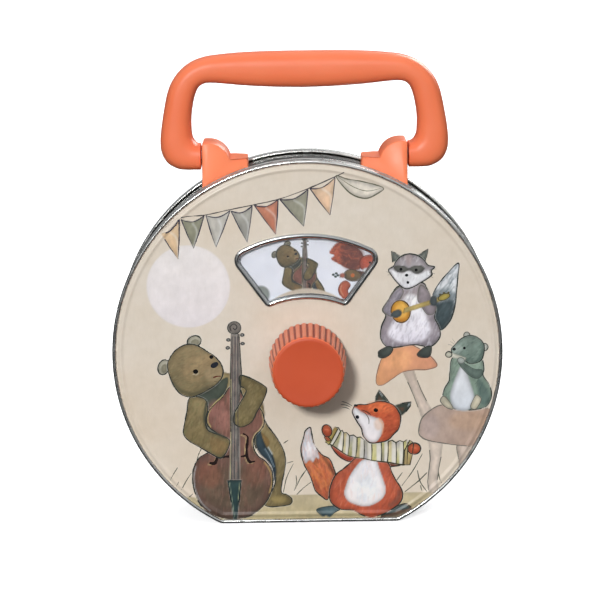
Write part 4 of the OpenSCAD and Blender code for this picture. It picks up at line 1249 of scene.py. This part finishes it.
def accordion(s):
    """pleated bellows between two paws"""
    tops = [(12, 40.2), (13.7, 38.6), (15, 37.9), (17.4, 36.6), (20.5, 35.8), (23.3, 34.8), (26.4, 34.4),
            (30.4, 33.9), (33.3, 34), (36.5, 33.4), (39.6, 33.7), (42.4, 34)]
    lows = [(8.4, 33.1), (10.3, 32.6), (14.3, 29.7), (16.6, 28.3), (19.8, 27.4), (23.2, 26.9), (26.4, 26.1),
            (30.4, 25.5), (32.9, 25.2), (36.5, 24.5), (39.3, 24), (42, 24.1)]
    s.shape(tops + lows[::-1], (214, 208, 170), smooth=False, halo=0.5)
    tones = [(206, 200, 132), (150, 146, 134), (216, 210, 164), (190, 186, 116), (204, 184, 142),
             (200, 196, 206)]
    for k in range(len(tops) - 1):
        (ax, az), (bx, bz) = tops[k], tops[k + 1]
        (cx, cz), (dx, dz) = lows[k + 1], lows[k]
        mx, mz = (ax + bx) / 2, (az + bz) / 2 + 0.75
        nx, nz = (dx + cx) / 2, (dz + cz) / 2
        s.shape([(ax, az), (mx, mz), (nx, nz), (dx, dz)], tones[k % 6], tones[(k + 2) % 6], 90, False, 0.1,
                0.2, 0.85)
        s.shape([(mx, mz), (bx, bz), (cx, cz), (nx, nz)], (238, 234, 228), (222, 216, 208), 90, False,
                0.05, 0.08, 0.9)
    for (ax, az), (bx, bz), (cx, cz) in zip(tops, tops[1:], lows[1:]):
        s.outline([(ax, az), ((ax + bx) / 2, (az + bz) / 2 + 0.75), (bx, bz)], (66, 66, 56), 0.26,
                  smooth=False)
        s.outline([(bx, bz), ((bx + cx) / 2 + 0.2, (bz + cz) / 2), (cx, cz)], (78, 76, 64), 0.26)
    s.outline(lows, (70, 68, 56), 0.3)
    s.shape([(11.4, 40.6), (12.6, 39.6), (9, 33), (7.4, 34.2), (8.2, 36)], (200, 186, 96), (180, 150, 90), 60,
            False, ink=(74, 70, 52))
    s.shape([(42.2, 34.4), (43.8, 33.2), (43.2, 28), (42.2, 24), (39.6, 24), (40, 30)], (196, 170, 116),
            (214, 200, 140), 90, False, ink=(70, 66, 54))
    s.outline([(41.4, 33.6), (41.2, 28), (41, 24.4)], (84, 76, 60), 0.22)
    for x, z, rx, rz, turn in ((8.1, 38.9, 2, 2.6, 15), (44, 30.8, 2.7, 2.4, 0)):
        s.shape(ellipse(x, z, rx, rz, turn), (176, 76, 50), (206, 104, 70), halo=0.4, ink=INK)
        s.brush([(x - 0.8, z + 0.6), (x + 0.7, z + 0.2)], (226, 140, 100), 0.5, 0.6)
    s.shape([(7, 36.4), (8.6, 36.2), (9.6, 34.8), (8, 34.6)], (190, 96, 64), ink=INK, width=0.18)


def raccoon(s):
    coat, slate = (150, 142, 150), (76, 86, 90)
    tail = [(51.5, 95.2), (53.9, 99.5), (57.4, 103.7), (61.9, 107.9), (61.7, 102.5), (61.1, 95.8),
            (60.5, 90.3), (58.6, 84.2), (54.8, 80.3), (53, 83.6), (52, 86), (52.4, 90), (51.6, 93)]
    s.shape(tail, (64, 78, 82), (214, 220, 226), 70, halo=0.5, ink=INK)
    s.shape([(53, 97.4), (57.4, 103.4), (61.6, 107.2), (61.4, 102), (60.8, 96), (57.6, 97.6)], WHITE,
            (226, 228, 234), soft=1.4, alpha=0.9, edge=0.03)
    s.fur(tail, [(240, 242, 246), (120, 134, 140), (66, 80, 86)], 200, 2.8, 60, 0.5, 0.36, 5, 14)
    s.shape([(53.2, 91), (59.6, 92), (58.4, 84.6), (54.8, 80.8), (53.2, 84), (52.4, 87)], (60, 74, 78),
            alpha=0.8, soft=1.4)
    body = [(38, 98.9), (35.3, 96.4), (33.5, 93.4), (30.9, 89.1), (32.2, 86.6), (30.5, 82.4), (29.9, 78.1),
            (31.1, 75), (33.5, 73.3), (37.7, 73.5), (43.7, 74.3), (49.7, 73.4), (52.7, 75), (54.5, 78.1),
            (53.9, 81.8), (52.1, 85.4), (52.7, 89.1), (50.8, 93.4), (49.1, 97.6), (46.7, 100.1)]
    s.shape(body, coat, (158, 148, 150), 90, halo=0.5, ink=INK)
    s.shape([(40.1, 94.3), (43.7, 95), (46.4, 92.1), (48.9, 86), (50.4, 79.9), (47, 75.8), (38.9, 75.2),
             (33.4, 78.1), (34.1, 82.4), (37.7, 87.3)], (234, 230, 242), (250, 250, 252), 90, soft=1.6,
            edge=0.02, tex=0.06)
    s.fur(body, [(226, 226, 236), (134, 128, 140), (188, 180, 190)], 420, 2.2, 255, 0.45, 0.34, 6, 26)
    far = [(46.4, 98.9), (49.6, 96.6), (50.8, 93.4), (52.8, 89.7), (51.5, 87), (49.1, 87), (47.1, 89.7),
           (45.3, 93.4)]
    s.shape(far, (142, 132, 138), (160, 150, 154), 60, ink=SOFT_INK, width=0.2)
    near = [(38, 98.4), (35.3, 96), (33, 92.6), (31, 88.9), (33.4, 86.6), (36.4, 86), (38, 88.5),
            (37.4, 92), (39.4, 96)]
    s.shape(near, (144, 138, 148), (164, 156, 164), 60, ink=SOFT_INK, width=0.2)
    s.fur(near, [(196, 192, 204), (112, 108, 120)], 90, 1.8, 240, 0.4, 0.4, 2)
    # banjo
    s.shape(ellipse(38.3, 88.2, 3.9, 4.6, 10), (214, 140, 48), (240, 184, 82), 60, halo=0.4, ink=(96, 74, 46))
    s.shape(ellipse(38.6, 88.4, 2.3, 3), (246, 198, 104), alpha=0.6, soft=0.8, edge=0)
    s.shape([(39.4, 87.4), (39.9, 89.6), (51, 93), (57.2, 95.2), (58.1, 93.6), (51.6, 91.2)], (214, 190, 120),
            (196, 172, 106), 20, False, ink=(84, 76, 60), width=0.2)
    s.outline([(39.8, 88.4), (51, 92), (57, 94.4)], (120, 104, 76), 0.14, smooth=False)
    s.shape(ellipse(56, 94, 2.5, 1.25, 20), (198, 178, 92), ink=(84, 80, 62), width=0.2)
    for x, z in ((54.4, 95), (56, 95.7), (57.8, 95.8)):
        s.dot(x, z, 0.45, 0.4, (92, 86, 66))
    s.shape([(34.2, 86.6), (35.4, 88.4), (37.6, 89), (38.8, 87.8), (38, 86.2), (36, 85.6)], slate,
            (96, 104, 104))
    s.shape([(50.2, 92.2), (51, 94.4), (52.6, 94.2), (53.3, 92), (52.4, 90.4), (50.8, 90.6)], slate,
            (96, 104, 106))
    for pts in ([(29, 70.5), (29.3, 71.9), (32.9, 73.7), (34.9, 73), (34.2, 70.8), (31.7, 69), (29.3, 69.3)],
                [(45, 70.5), (47.7, 73), (50.7, 73.4), (50, 69.3), (46.2, 69.1)]):
        s.shape(pts, (62, 70, 68), (90, 98, 92), 60, ink=(52, 56, 54), width=0.2)
    # head
    for pts in ([(35.1, 108.7), (34.7, 113.2), (36.4, 112.4), (39.1, 110.6), (37.5, 109)],
                [(44.7, 111), (47.2, 112.5), (49.6, 113.9), (49.2, 111.4), (48.4, 108.9), (46, 109.6)]):
        s.shape(pts, (92, 100, 94), (116, 122, 116), 60, False, ink=INK, width=0.22)
    s.shape([(35.8, 109.8), (35.8, 111.8), (37.2, 110.6)], (146, 148, 140), smooth=False, alpha=0.8)
    s.shape([(46.4, 110.8), (48.4, 112.4), (48, 110.2)], (146, 148, 140), smooth=False, alpha=0.8)
    head = [(38.6, 111), (41.9, 112), (45.5, 111.2), (48, 109.2), (49.6, 107.2), (52.2, 106.5), (50.9, 104.9),
            (51.1, 103.2), (48.9, 101.4), (46.4, 100), (43.7, 98.4), (40.6, 97.6), (37.9, 99.2), (34.8, 103),
            (33.4, 105.6), (35.4, 106.9), (36.4, 108.8)]
    s.shape(head, (196, 192, 196), (158, 150, 154), 90, halo=0.5, ink=INK)
    s.shape([(34.3, 105.7), (37, 104.4), (39.5, 104), (41.6, 104.9), (45.5, 103.4), (49.4, 105.1),
             (50.4, 103.4), (48.6, 101.8), (46.2, 100.4), (43.5, 98.8), (40.6, 98.2), (38.1, 99.7),
             (35.2, 103)], (232, 232, 236), WHITE, soft=0.6, edge=0.02)
    s.fur(head, [(250, 250, 252), (168, 162, 168), (206, 200, 206)], 160, 1.5, 250, 0.35, 0.35, 4, 40)
    s.shape([(35.5, 106.3), (36.9, 107.3), (40.1, 107), (41.6, 106.1), (43.7, 107), (46.7, 107.1),
             (48.2, 106), (46.7, 104.2), (44.3, 103.8), (41.9, 105.2), (39.5, 104.4), (37, 104.6)],
            (94, 96, 92), (116, 116, 110))
    s.shape([(40.4, 111.4), (43, 111.4), (42.4, 107.6), (41, 107.6)], (176, 158, 156), alpha=0.6, soft=0.8,
            edge=0)
    s.dot(38.5, 105.7, 0.62, 0.62, (22, 22, 24))
    s.dot(44.7, 105.3, 0.62, 0.62, (22, 22, 24))
    s.dot(40.8, 103.2, 0.72, 0.6, (34, 34, 38))
    s.dot(41.3, 100.2, 0.55, 0.62, (44, 44, 48), 30)
    for x0, z0, x1, z1 in ((34.4, 104.4, 32.4, 104.8), (34.8, 103.6, 33, 103.4), (50.2, 105.4, 52.8, 105.6),
                           (50, 104.2, 52.4, 103.6), (49.4, 103, 51.6, 102)):
        s.outline([(x0, z0), (x1, z1)], SOFT_INK, 0.15, smooth=False, taper=True)


def toadstools(s):
    s.shape([(38.7, 63.4), (41, 58.8), (43.4, 53), (45.2, 48), (46.9, 42.6), (51.4, 46.2), (48.7, 50.6),
             (46.6, 55), (44.9, 59.4), (43.5, 64)], (222, 206, 192), (224, 206, 190), 90, False, alpha=0.95,
            ink=SOFT_INK, width=0.24)
    s.brush([(41.4, 62), (45.2, 54), (48.8, 46.6)], (186, 170, 162), 1.2, 0.4, 1)
    cap = [(35.3, 73), (38, 74.2), (41.3, 74.8), (45.5, 72.8), (49.7, 70), (52.7, 66.7), (52.6, 64.9),
           (48.5, 63.8), (43.7, 63.8), (38.9, 62.9), (34.7, 60.2), (31.1, 57.8), (28.6, 57.7), (28, 60.4),
           (29.3, 65.9), (31.1, 69.7)]
    s.shape(cap, (230, 166, 120), (226, 160, 128), 0, tex=0.06, edge=0.08, ink=(150, 118, 100), width=0.22)
    s.shape(ellipse(38, 68, 5, 4, 30), (240, 176, 124), alpha=0.5, soft=2, edge=0)
    big = [(45.4, 37.8), (46.7, 43.2), (50.4, 46.8), (54.5, 48.8), (59.2, 48.2), (67.6, 47.8), (74.8, 47),
           (82, 44), (82, 32), (74, 31.8), (67.6, 31.4), (61.6, 31.8), (55.7, 32.7), (49.7, 33.9),
           (46.6, 35.4)]
    s.shape([(61.6, 32.4), (61.8, 26), (62.3, 20), (64, 16), (76, 24), (70, 32)], (206, 188, 174), alpha=0.9,
            ink=SOFT_INK, width=0.2)
    s.shape([(49.2, 34.4), (49.9, 30), (50.1, 26), (49.5, 21), (49, 16.5), (49.3, 13), (50.4, 11.2),
             (53.6, 12.8), (53, 17), (53.6, 22), (54.6, 27), (55.4, 33.4)], (224, 208, 194), smooth=False,
            alpha=0.85, ink=SOFT_INK, width=0.2)
    s.shape(big, (192, 172, 162), (190, 158, 136), 0, tex=0.07, edge=0.06, ink=SOFT_INK, width=0.24)
    s.shape(ellipse(66, 42, 8, 4), (198, 164, 138), alpha=0.55, soft=2.5, edge=0)
    s.shape(ellipse(50.5, 40, 3.4, 5), (186, 168, 164), alpha=0.5, soft=2, edge=0)


def mole(s):
    coat = (130, 150, 136)
    body = [(59.4, 68.6), (58.3, 62.8), (58, 59.1), (56, 55.5), (55.4, 51.2), (57.6, 48.2), (62, 46.8),
            (67.6, 46.6), (73, 47.9), (75.4, 51.8), (74.7, 56.7), (72, 61), (72.3, 64), (71, 68.4),
            (64.6, 69.6)]
    s.shape(body, coat, (146, 166, 150), 90, halo=0.6, ink=INK, width=0.2)
    s.fur(body, [(146, 162, 152), (74, 92, 86)], 260, 2, 250, 0.45, 0.35, 5, 25)
    s.shape([(70, 60), (74, 55), (74.6, 50.6), (72, 48.4), (70, 51)], (66, 84, 82), alpha=0.6, soft=1.4,
            edge=0)
    s.shape([(63.1, 65.5), (60.4, 59.8), (58.4, 53), (59.5, 48.1), (62.8, 46.4), (66.4, 47), (68.4, 51.8),
             (66.6, 58.5), (64.8, 63.4)], (220, 226, 234), (236, 238, 242), 90, soft=0.5, tex=0.05)
    s.shape([(61.6, 67.6), (64.6, 65.9), (68.2, 63.8), (71.6, 63.2), (71, 60.6), (69, 59.9), (66.2, 61.2),
             (63.2, 64.4)], (104, 122, 114), (120, 138, 128), ink=(86, 98, 92), width=0.2)
    for pts in ([(54.4, 50.6), (55.8, 52.6), (58, 50.4), (59.6, 47.2), (56.8, 47.8)],
                [(66.8, 47.8), (68, 51.2), (69.4, 52.9), (71.2, 50.9), (69, 47)]):
        s.shape(pts, (226, 218, 192), (214, 206, 184), ink=SOFT_INK, width=0.2)
    for x, z, r in ((65.3, 78, 1.25), (72.4, 72.9, 1.6)):
        s.shape(ellipse(x, z, r, r), (206, 208, 198), halo=0.2, ink=INK, width=0.18)
    head = [(60.4, 74), (62.8, 76.4), (66.4, 77.9), (70, 76.8), (72.4, 73.8), (72.1, 69.5), (70.6, 66.9),
            (66.4, 66.1), (62.8, 68.7), (60.1, 70), (58.9, 72)]
    s.shape(head, (100, 120, 110), (140, 156, 146), 110, halo=0.4, ink=INK, width=0.2)
    s.shape(ellipse(61.4, 72, 2.2, 1.8, 15), (176, 186, 180), alpha=0.7, soft=1.1, edge=0)
    s.fur(head, [(152, 168, 158), (76, 94, 88)], 170, 1.6, 210, 0.4, 0.35, 8, 25)
    s.dot(64.3, 72.6, 0.55, 0.58, (20, 22, 24))
    s.dot(60.1, 72.2, 0.72, 0.6, (34, 36, 38))
    s.shape([(57.2, 70.9), (58.4, 71), (65, 68.5), (64.6, 67.3), (57.6, 69.2)], (232, 230, 214), smooth=False,
            ink=(96, 96, 88), width=0.18)
    s.shape(ellipse(57.9, 70, 1.3, 1.2), (206, 204, 186), ink=INK, width=0.22)
    s.shape(ellipse(62.9, 67.4, 1.5, 1.2, -20), (196, 204, 198), ink=(110, 118, 112), width=0.16)
    for x0, z0, x1, z1 in ((60, 74.4, 58.4, 75.6), (60.4, 75, 59.4, 76.6), (59.4, 73.8, 57.6, 74.2)):
        s.outline([(x0, z0), (x1, z1)], SOFT_INK, 0.13, smooth=False, taper=True)


def bunting(s):
    """pennants on a string, with a leaf at its end"""
    string = [(-58.8, 122), (-51.7, 127.9), (-40.8, 129.1), (-30.6, 131.2), (-21.6, 132.9), (-10.7, 135.2),
              (1.1, 139.3), (12.5, 144.2), (15.8, 145.8)]
    flags = [((-58.8, 121.8), (-51.3, 127.6), (-52.1, 111.2), (226, 190, 148), (232, 204, 168)),
             ((-50.5, 127.4), (-41.2, 128.8), (-45.7, 115.6), (128, 128, 108), (148, 148, 128)),
             ((-40.4, 128.9), (-30.6, 130.8), (-36.6, 115.9), (186, 184, 176), (200, 196, 188)),
             ((-30.2, 130.6), (-21.6, 132.6), (-23.9, 117.8), (150, 150, 144), (170, 168, 160)),
             ((-20.8, 132.9), (-11.1, 135), (-12.3, 120.9), (180, 108, 82), (192, 128, 104)),
             ((-10.3, 135), (1.1, 139), (-0.9, 124), (146, 146, 128), (166, 164, 146)),
             ((1.9, 139.3), (12.1, 143.7), (9.9, 128.4), (222, 184, 150), (230, 200, 170))]
    for a, b, c, col, col2 in flags:
        ac = ((a[0] + c[0]) / 2 - 0.2, (a[1] + c[1]) / 2)
        bc = ((b[0] + c[0]) / 2 + 0.2, (b[1] + c[1]) / 2)
        sag = ((a[0] + b[0]) / 2, (a[1] + b[1]) / 2 - 1.7)
        s.shape([a, sag, b, bc, c, ac], col, col2, 90, False, 0.12, 0.12, 0.95, halo=0.35)
        shine = [(sag[0], sag[1] - 0.7), ((b[0] + c[0]) / 2 - 0.7, (b[1] + c[1]) / 2), (c[0] + 0.1, c[1] + 1)]
        s.brush(shine, WHITE, 0.7, 0.4, 0.7)
        s.outline([a, ac, c, bc, b], (70, 66, 78), 0.24, smooth=False)
        s.outline([a, ((a[0] + sag[0]) / 2, (a[1] + sag[1]) / 2 - 0.35), sag,
                   ((b[0] + sag[0]) / 2, (b[1] + sag[1]) / 2 - 0.35), b], (70, 66, 78), 0.24)
    s.outline(string, (74, 72, 72), 0.24)
    leaf = [(12.5, 144.4), (17, 143), (23, 141.9), (31.5, 139.3), (29, 136.8), (24.6, 135), (19.4, 136.4),
            (15.4, 140)]
    s.shape(leaf, (220, 212, 198), (228, 220, 208), 60, ink=(104, 104, 88))
    s.outline([(13.4, 143.8), (19.4, 139.8), (25, 138), (30.6, 139)], (128, 126, 104), 0.16, taper=True)


CREAM = (224, 212, 196)


def cream_mottle(x, z):
    """slight unevenness of the cream ground"""
    return fbm(x * 0.25, z * 0.3, 31)[:, None] * np.array((6, 7, 9))


face = Sheet(front_x, front_z, CREAM)
# the cream grows a little lighter and warmer towards the foot
face.c += np.clip((90 - front_z) / 80, 0, 1)[:, None] * np.array((8, 6, 4))
drift = fbm(front_x * 0.03, front_z * 0.04, 21)[:, None] * np.array((4, 10, 16))
face.c += drift + cream_mottle(front_x, front_z)
face.shape(ellipse(-48.2, 99.8, 17, 17, 0, 40), (234, 227, 229), (238, 232, 230), 90, tex=0.03, edge=0.02,
           soft=0.5)
grass(face, [(-58.4, 16.4, -54.3, 24, 0.1), (-53.4, 13.4, -48.6, 21.6, 0.1), (-50.2, 11, -48, 13, 0),
             (-55.3, 15, -54, 18, 0), (-46.4, 26.4, -44.1, 32, 0.2), (-10.8, 12.2, -6.4, 25, 0.2),
             (-6.3, 13.4, -5.4, 20, -0.3), (-5.8, 14, -0.9, 22.6, 0.15), (-6, 11, 1.6, 17.6, 0.1),
             (-9.2, 25.2, -6.4, 26, 0), (-10.4, 33.6, -8.4, 35, 0)])
grass(face, [(37.8, 14.2, 46.9, 28.4, -0.1), (38.9, 11.8, 50.7, 22.4, -0.1), (36.2, 17.3, 38.6, 20.6, 0),
             (33.4, 22, 35.2, 25, 0), (44.8, 21.4, 48.6, 12.4, -0.3), (46, 15, 46.6, 12.6, 0),
             (53.4, 21, 55.6, 14, -0.2)])
ground(face)
face.outline([(-60, 10.8), (-30, 10.9)], (176, 168, 140), 0.16)
bunting(face)
face.place(-0.1, 0.8)
bear(face)
face.place(0, 0)
toadstools(face)
mole(face)
raccoon(face)
face.place(-0.5, -0.2)
fox(face)
face.place(0, 0)
paint_attribute(front, face.rgba())
front_ink = ink_object("front_ink", face, lambda x, z: FACE + relief(case_depth(np.array(x), np.array(z))),
                       lambda x, z: (case_depth(x, z) > 2.0) & (window.depth(x, z) < -0.2), ink_mat)
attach(front_ink, "case")
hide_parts("front_cover")

rear = Sheet(back_x, back_z, CREAM)
rear.c += cream_mottle(back_x, back_z)
ground(rear)
paint_attribute(back, rear.rgba())


# ------------------------------------------------------------------ turning picture behind the window
DISC_R, DISC_IN, DISC_V, DISC_T = 55.0, 6.0, 18.5, 1.0     # radii, front side and thickness
DISC_STEPS, DISC_PITCH = 640, 0.4
PRINT_WHITE, PRINT_GAMMA = 246, 1.35         # the disc is printed more heavily than the face
EARTH_R, EARTH_WAVE = 28.9, 0.5              # the ground under the players' feet
LINES_R, LINES_HALF = 42, 12.4               # ink lines are kept to this ring


def squirrel(s):
    """upright figure about 34 mm tall standing at the origin, with a small guitar"""
    tail = [(-5, 3), (-9, 7), (-12, 13), (-13, 20), (-11, 26), (-7, 29), (-3.4, 27), (-4.6, 22), (-5.4, 15),
            (-3, 9)]
    s.shape(tail, (168, 66, 40), (206, 98, 58), 90, halo=0.5, ink=INK)
    s.fur(tail, [(228, 128, 76), (118, 48, 34), (196, 84, 50)], 260, 3.4, 110, 0.6, 0.5, 5, 35)
    body = [(-4.5, 1.5), (-6.4, 7), (-5.4, 13), (-3, 18), (2, 19.4), (6, 17), (7.4, 11), (7, 5), (4, 1.2)]
    s.shape(body, (134, 62, 46), (168, 80, 54), 90, ink=INK)
    s.fur(body, [(196, 104, 70), (92, 44, 36)], 180, 2.2, 260, 0.5, 0.4, 6)
    s.shape([(-1, 3), (-1.4, 10), (1, 16), (4.4, 14), (5, 8), (3.4, 3)], (226, 206, 190), alpha=0.85,
            soft=0.9)
    head = [(-4, 20), (-5, 24), (-3, 28), (1, 29.4), (5, 27.6), (8.4, 24), (7, 21), (3, 18.8), (-1, 18.6)]
    s.shape(head, (190, 84, 52), (214, 108, 68), 90, halo=0.4, ink=INK)
    s.shape(ellipse(5.4, 22.4, 2.6, 1.8, 15), (236, 228, 222), alpha=0.9, soft=0.6)
    for x, z in ((-2.6, 29.6), (2.8, 30.4)):
        s.shape([(x - 1.3, z - 2), (x, z + 2.4), (x + 1.3, z - 2)], (150, 62, 40), smooth=False, ink=INK)
    s.dot(3, 24.6, 0.7, 0.7, (20, 18, 18))
    s.dot(8.2, 23.6, 0.8, 0.7, (40, 34, 34))
    s.shape(ellipse(1.4, 9.6, 4.6, 3.4, 30), (150, 110, 62), (178, 136, 84), 60, ink=(70, 56, 40))
    s.shape([(4, 11.4), (5, 10), (13.6, 15.4), (12.8, 16.8)], (120, 96, 70), smooth=False, ink=(70, 60, 50))
    s.dot(2, 10, 1.1, 1.1, (60, 46, 34))
    for x, z in ((12.6, 17.8), (14.4, 17.4), (14.6, 15)):
        s.dot(x, z, 0.7, 0.6, (110, 118, 116))
    s.shape(ellipse(6.6, 12.4, 1.7, 1.4), (196, 92, 58), ink=INK)
    s.shape([(-1.6, -0.2), (-1, 1.8), (3, 2), (4, 0)], (150, 62, 44), ink=INK)
    s.shape([(3.6, -0.2), (4.4, 1.8), (8, 1.8), (9, 0)], (150, 62, 44), ink=INK)


def window_squirrel(s):
    """the red squirrel that lies across the right of the window at rest, drawn where it is seen"""
    s.shape([(16.2, 100.8), (17.9, 99.1), (16.8, 96.6), (17.6, 94.1), (16.4, 92.2), (14, 94.4), (13, 97),
             (14, 99.8)], (186, 82, 54), (206, 104, 70), 90, ink=(110, 50, 38), width=0.16)
    s.brush([(14.4, 99), (13.9, 97), (15, 94.6)], (232, 170, 130), 0.4, 0.7)
    tail = [(10.3, 114), (12.2, 116.2), (14.9, 117.2), (18.3, 116.8), (20.9, 114.6), (23, 111.8), (23.4, 109),
            (21.8, 105.6), (18.2, 105.4), (14.9, 106.9), (12.7, 108.2), (10.2, 109.9), (11.4, 111.4),
            (9.6, 112.4)]
    s.shape(tail, (204, 86, 52), (84, 44, 36), 0)
    s.fur(tail, [(222, 122, 82), (104, 50, 40), (176, 76, 52), (80, 44, 38)], 420, 1.7, 200, 0.4, 0.55, 4, 45)
    s.shape(ellipse(18.8, 110.4, 4.6, 5.6, 20), (84, 44, 38), (110, 56, 44), 0, alpha=0.72, soft=2.2, edge=0)
    s.fur(tail, [(214, 104, 68)], 70, 2.0, 180, 0.35, 0.5, 9, 60)
    s.shape([(22.6, 110.2), (25.4, 111.3), (28.3, 110.8), (28.9, 108.4), (27, 106.6), (25.4, 105.2),
             (22.9, 105.3), (21.8, 107.6)], (178, 72, 48), (206, 92, 60), 0, ink=(110, 50, 38), width=0.16)
    s.shape(ellipse(24.4, 104.8, 1.5, 1.2), WHITE, soft=0.4)
    s.dot(24.5, 104.6, 0.45, 0.4, (30, 30, 34))
    s.dot(26, 108.2, 0.45, 0.4, (30, 22, 20))
    s.shape(ellipse(22.2, 103.1, 2.6, 1.7, -15), (88, 54, 44), (112, 70, 54), 0)
    s.shape(ellipse(18.8, 103, 3.5, 2.4, -8), (98, 84, 54), (132, 104, 66), 60, ink=(64, 50, 38), width=0.16)
    s.dot(18.9, 103, 0.8, 0.8, (188, 104, 52))
    s.shape([(13.6, 102.2), (13.6, 103.5), (16.4, 103.8), (16.4, 102.4)], (90, 78, 64), smooth=False)
    s.shape(ellipse(14.7, 103, 1, 1), (196, 112, 90))
    for x, z in ((11, 103.4), (11.9, 102.6), (12.2, 103.9), (12.9, 103.1)):
        s.dot(x, z, 0.62, 0.5, (74, 88, 88))


def disc():
    """the turning disc with its players"""
    rs = np.concatenate([[DISC_IN, 12.0, 18.0, 22.0], np.arange(24.0, DISC_R + 0.01, DISC_PITCH)])
    rs[-1] = DISC_R
    steps = DISC_STEPS
    a = np.arange(steps) * 2 * math.pi / steps
    gr, ga = np.meshgrid(rs, a)
    x, z = (gr * np.cos(ga)).ravel(), (gr * np.sin(ga)).ravel() + AXIS_Z
    verts = np.column_stack([x * MM, np.full(len(x), MID_Y - DISC_V * MM), z * MM])
    n = len(rs)
    faces = grid_faces(steps, n, True, False, True)
    low = len(verts)
    extra = []
    for k in range(steps):
        for r in (DISC_R, DISC_IN):
            extra.append(at(r * math.cos(a[k]), DISC_V - DISC_T, AXIS_Z + r * math.sin(a[k])))
    verts = np.vstack([verts, np.array(extra)])
    for k in range(steps):
        m = (k + 1) % steps
        o0, o1, i0, i1 = low + 2 * k, low + 2 * m, low + 2 * k + 1, low + 2 * m + 1
        faces += [(k * n + n - 1, o0, o1, m * n + n - 1), (k * n, m * n, i1, i0), (o0, i0, i1, o1)]
    ob = outward(new_object("disc_print", verts, faces, print_mat, sharp=40))
    sheet = Sheet(x, z, (240, 243, 251))
    sheet.c += fbm(x * 0.2, z * 0.2, 51)[:, None] * np.array((10, 9, 7))
    # players round the disc, feet towards the hub: scale, shift before turning, turn.
    # The first stands in the window at rest
    for who, scale, dx, dz, turn in ((bear, 0.42, 27.4, -35.9, -0.4), (fox, 0.5, -22, -6, -100),
                                     (raccoon, 0.5, -42, -73, -160), (mole, 0.72, -65, -46, 150),
                                     (squirrel, 0.62, 0, 0, 88), (fox, 0.46, -22, -6, 54)):
        foot = 31.0 if who is bear else 27.5
        t = math.radians(turn)
        ox, oz = dx * scale, dz * scale + foot
        sheet.place(ox * math.cos(t) - oz * math.sin(t), ox * math.sin(t) + oz * math.cos(t) + AXIS_Z, turn,
                    scale)
        who(sheet)
    sheet.c = PRINT_WHITE * (np.clip(sheet.c, 0, 255) / PRINT_WHITE) ** PRINT_GAMMA
    sheet.place()
    window_squirrel(sheet)
    sheet.shape(ellipse(-18.4, 95.8, 3.2, 3.4, 30), (112, 124, 114), (134, 144, 134), 60, soft=0.9, alpha=0.8)
    near = np.hypot(x, z - AXIS_Z)
    wave = EARTH_R + EARTH_WAVE * np.sin(np.arctan2(z - AXIS_Z, x) * 5)
    m = np.clip((wave - near) / 0.5 + 0.5, 0, 1)
    sheet.c += (np.array((208, 193, 176)) - sheet.c) * m[:, None]
    rgba = sheet.rgba()
    rgba = np.vstack([rgba, np.tile(np.array(lin(190, 190, 186) + (1,)), (len(extra), 1))])
    paint_attribute(ob, rgba)
    lines = ink_object("disc_ink", sheet, lambda px, pz: DISC_V,
                       lambda px, pz: np.abs(np.hypot(px, pz - AXIS_Z) - LINES_R) < LINES_HALF, ink_mat)
    for o in (ob, lines):
        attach(o, "knob")
        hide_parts("picture_disc")


disc()


# ------------------------------------------------------------------ works and fixings
brass_metal = metal("works_brass", lin(196, 160, 92), 0.3, (1, 6, 1), 0.2, 0.2)
steel_metal = metal("works_steel", lin(176, 178, 180), 0.3, (1, 6, 1), 0.2, 0.15)
screw_metal = metal("screw_steel", lin(188, 190, 192), 0.24, (4, 4, 1), 0.3, 0.12)
dark_steel = metal("spring_steel", lin(96, 100, 108), 0.34, (1, 8, 1), 0.25, 0.2)
washer_metal = metal("washer_dark", lin(58, 56, 54), 0.4, (4, 4, 4), 0.2, 0.2)
FINISH = {
    brass_metal: ["shaft_bushing", "bedplate", "bridge_plate", "spring_housing", "comb_base", "disc_hub",
                  "great_wheel",
                  "music_cylinder", "cylinder_wheel", "governor_wheel"],
    steel_metal: ["movement_carrier", "bridge_pillars", "comb", "winding_shaft", "cylinder_pinion",
                  "governor_arbor", "governor_pinion", "fly_arbor", "fly_pinion", "left_hinge_pin",
                  "right_hinge_pin"],
    screw_metal: ["bracket_screws", "carrier_screws", "bedplate_screws", "bridge_screws", "comb_screws"],
    dark_steel: ["mainspring"],
    washer_metal: ["bracket_washers"],
}
for mat, names in FINISH.items():
    for n in names:
        set_material(n, mat)
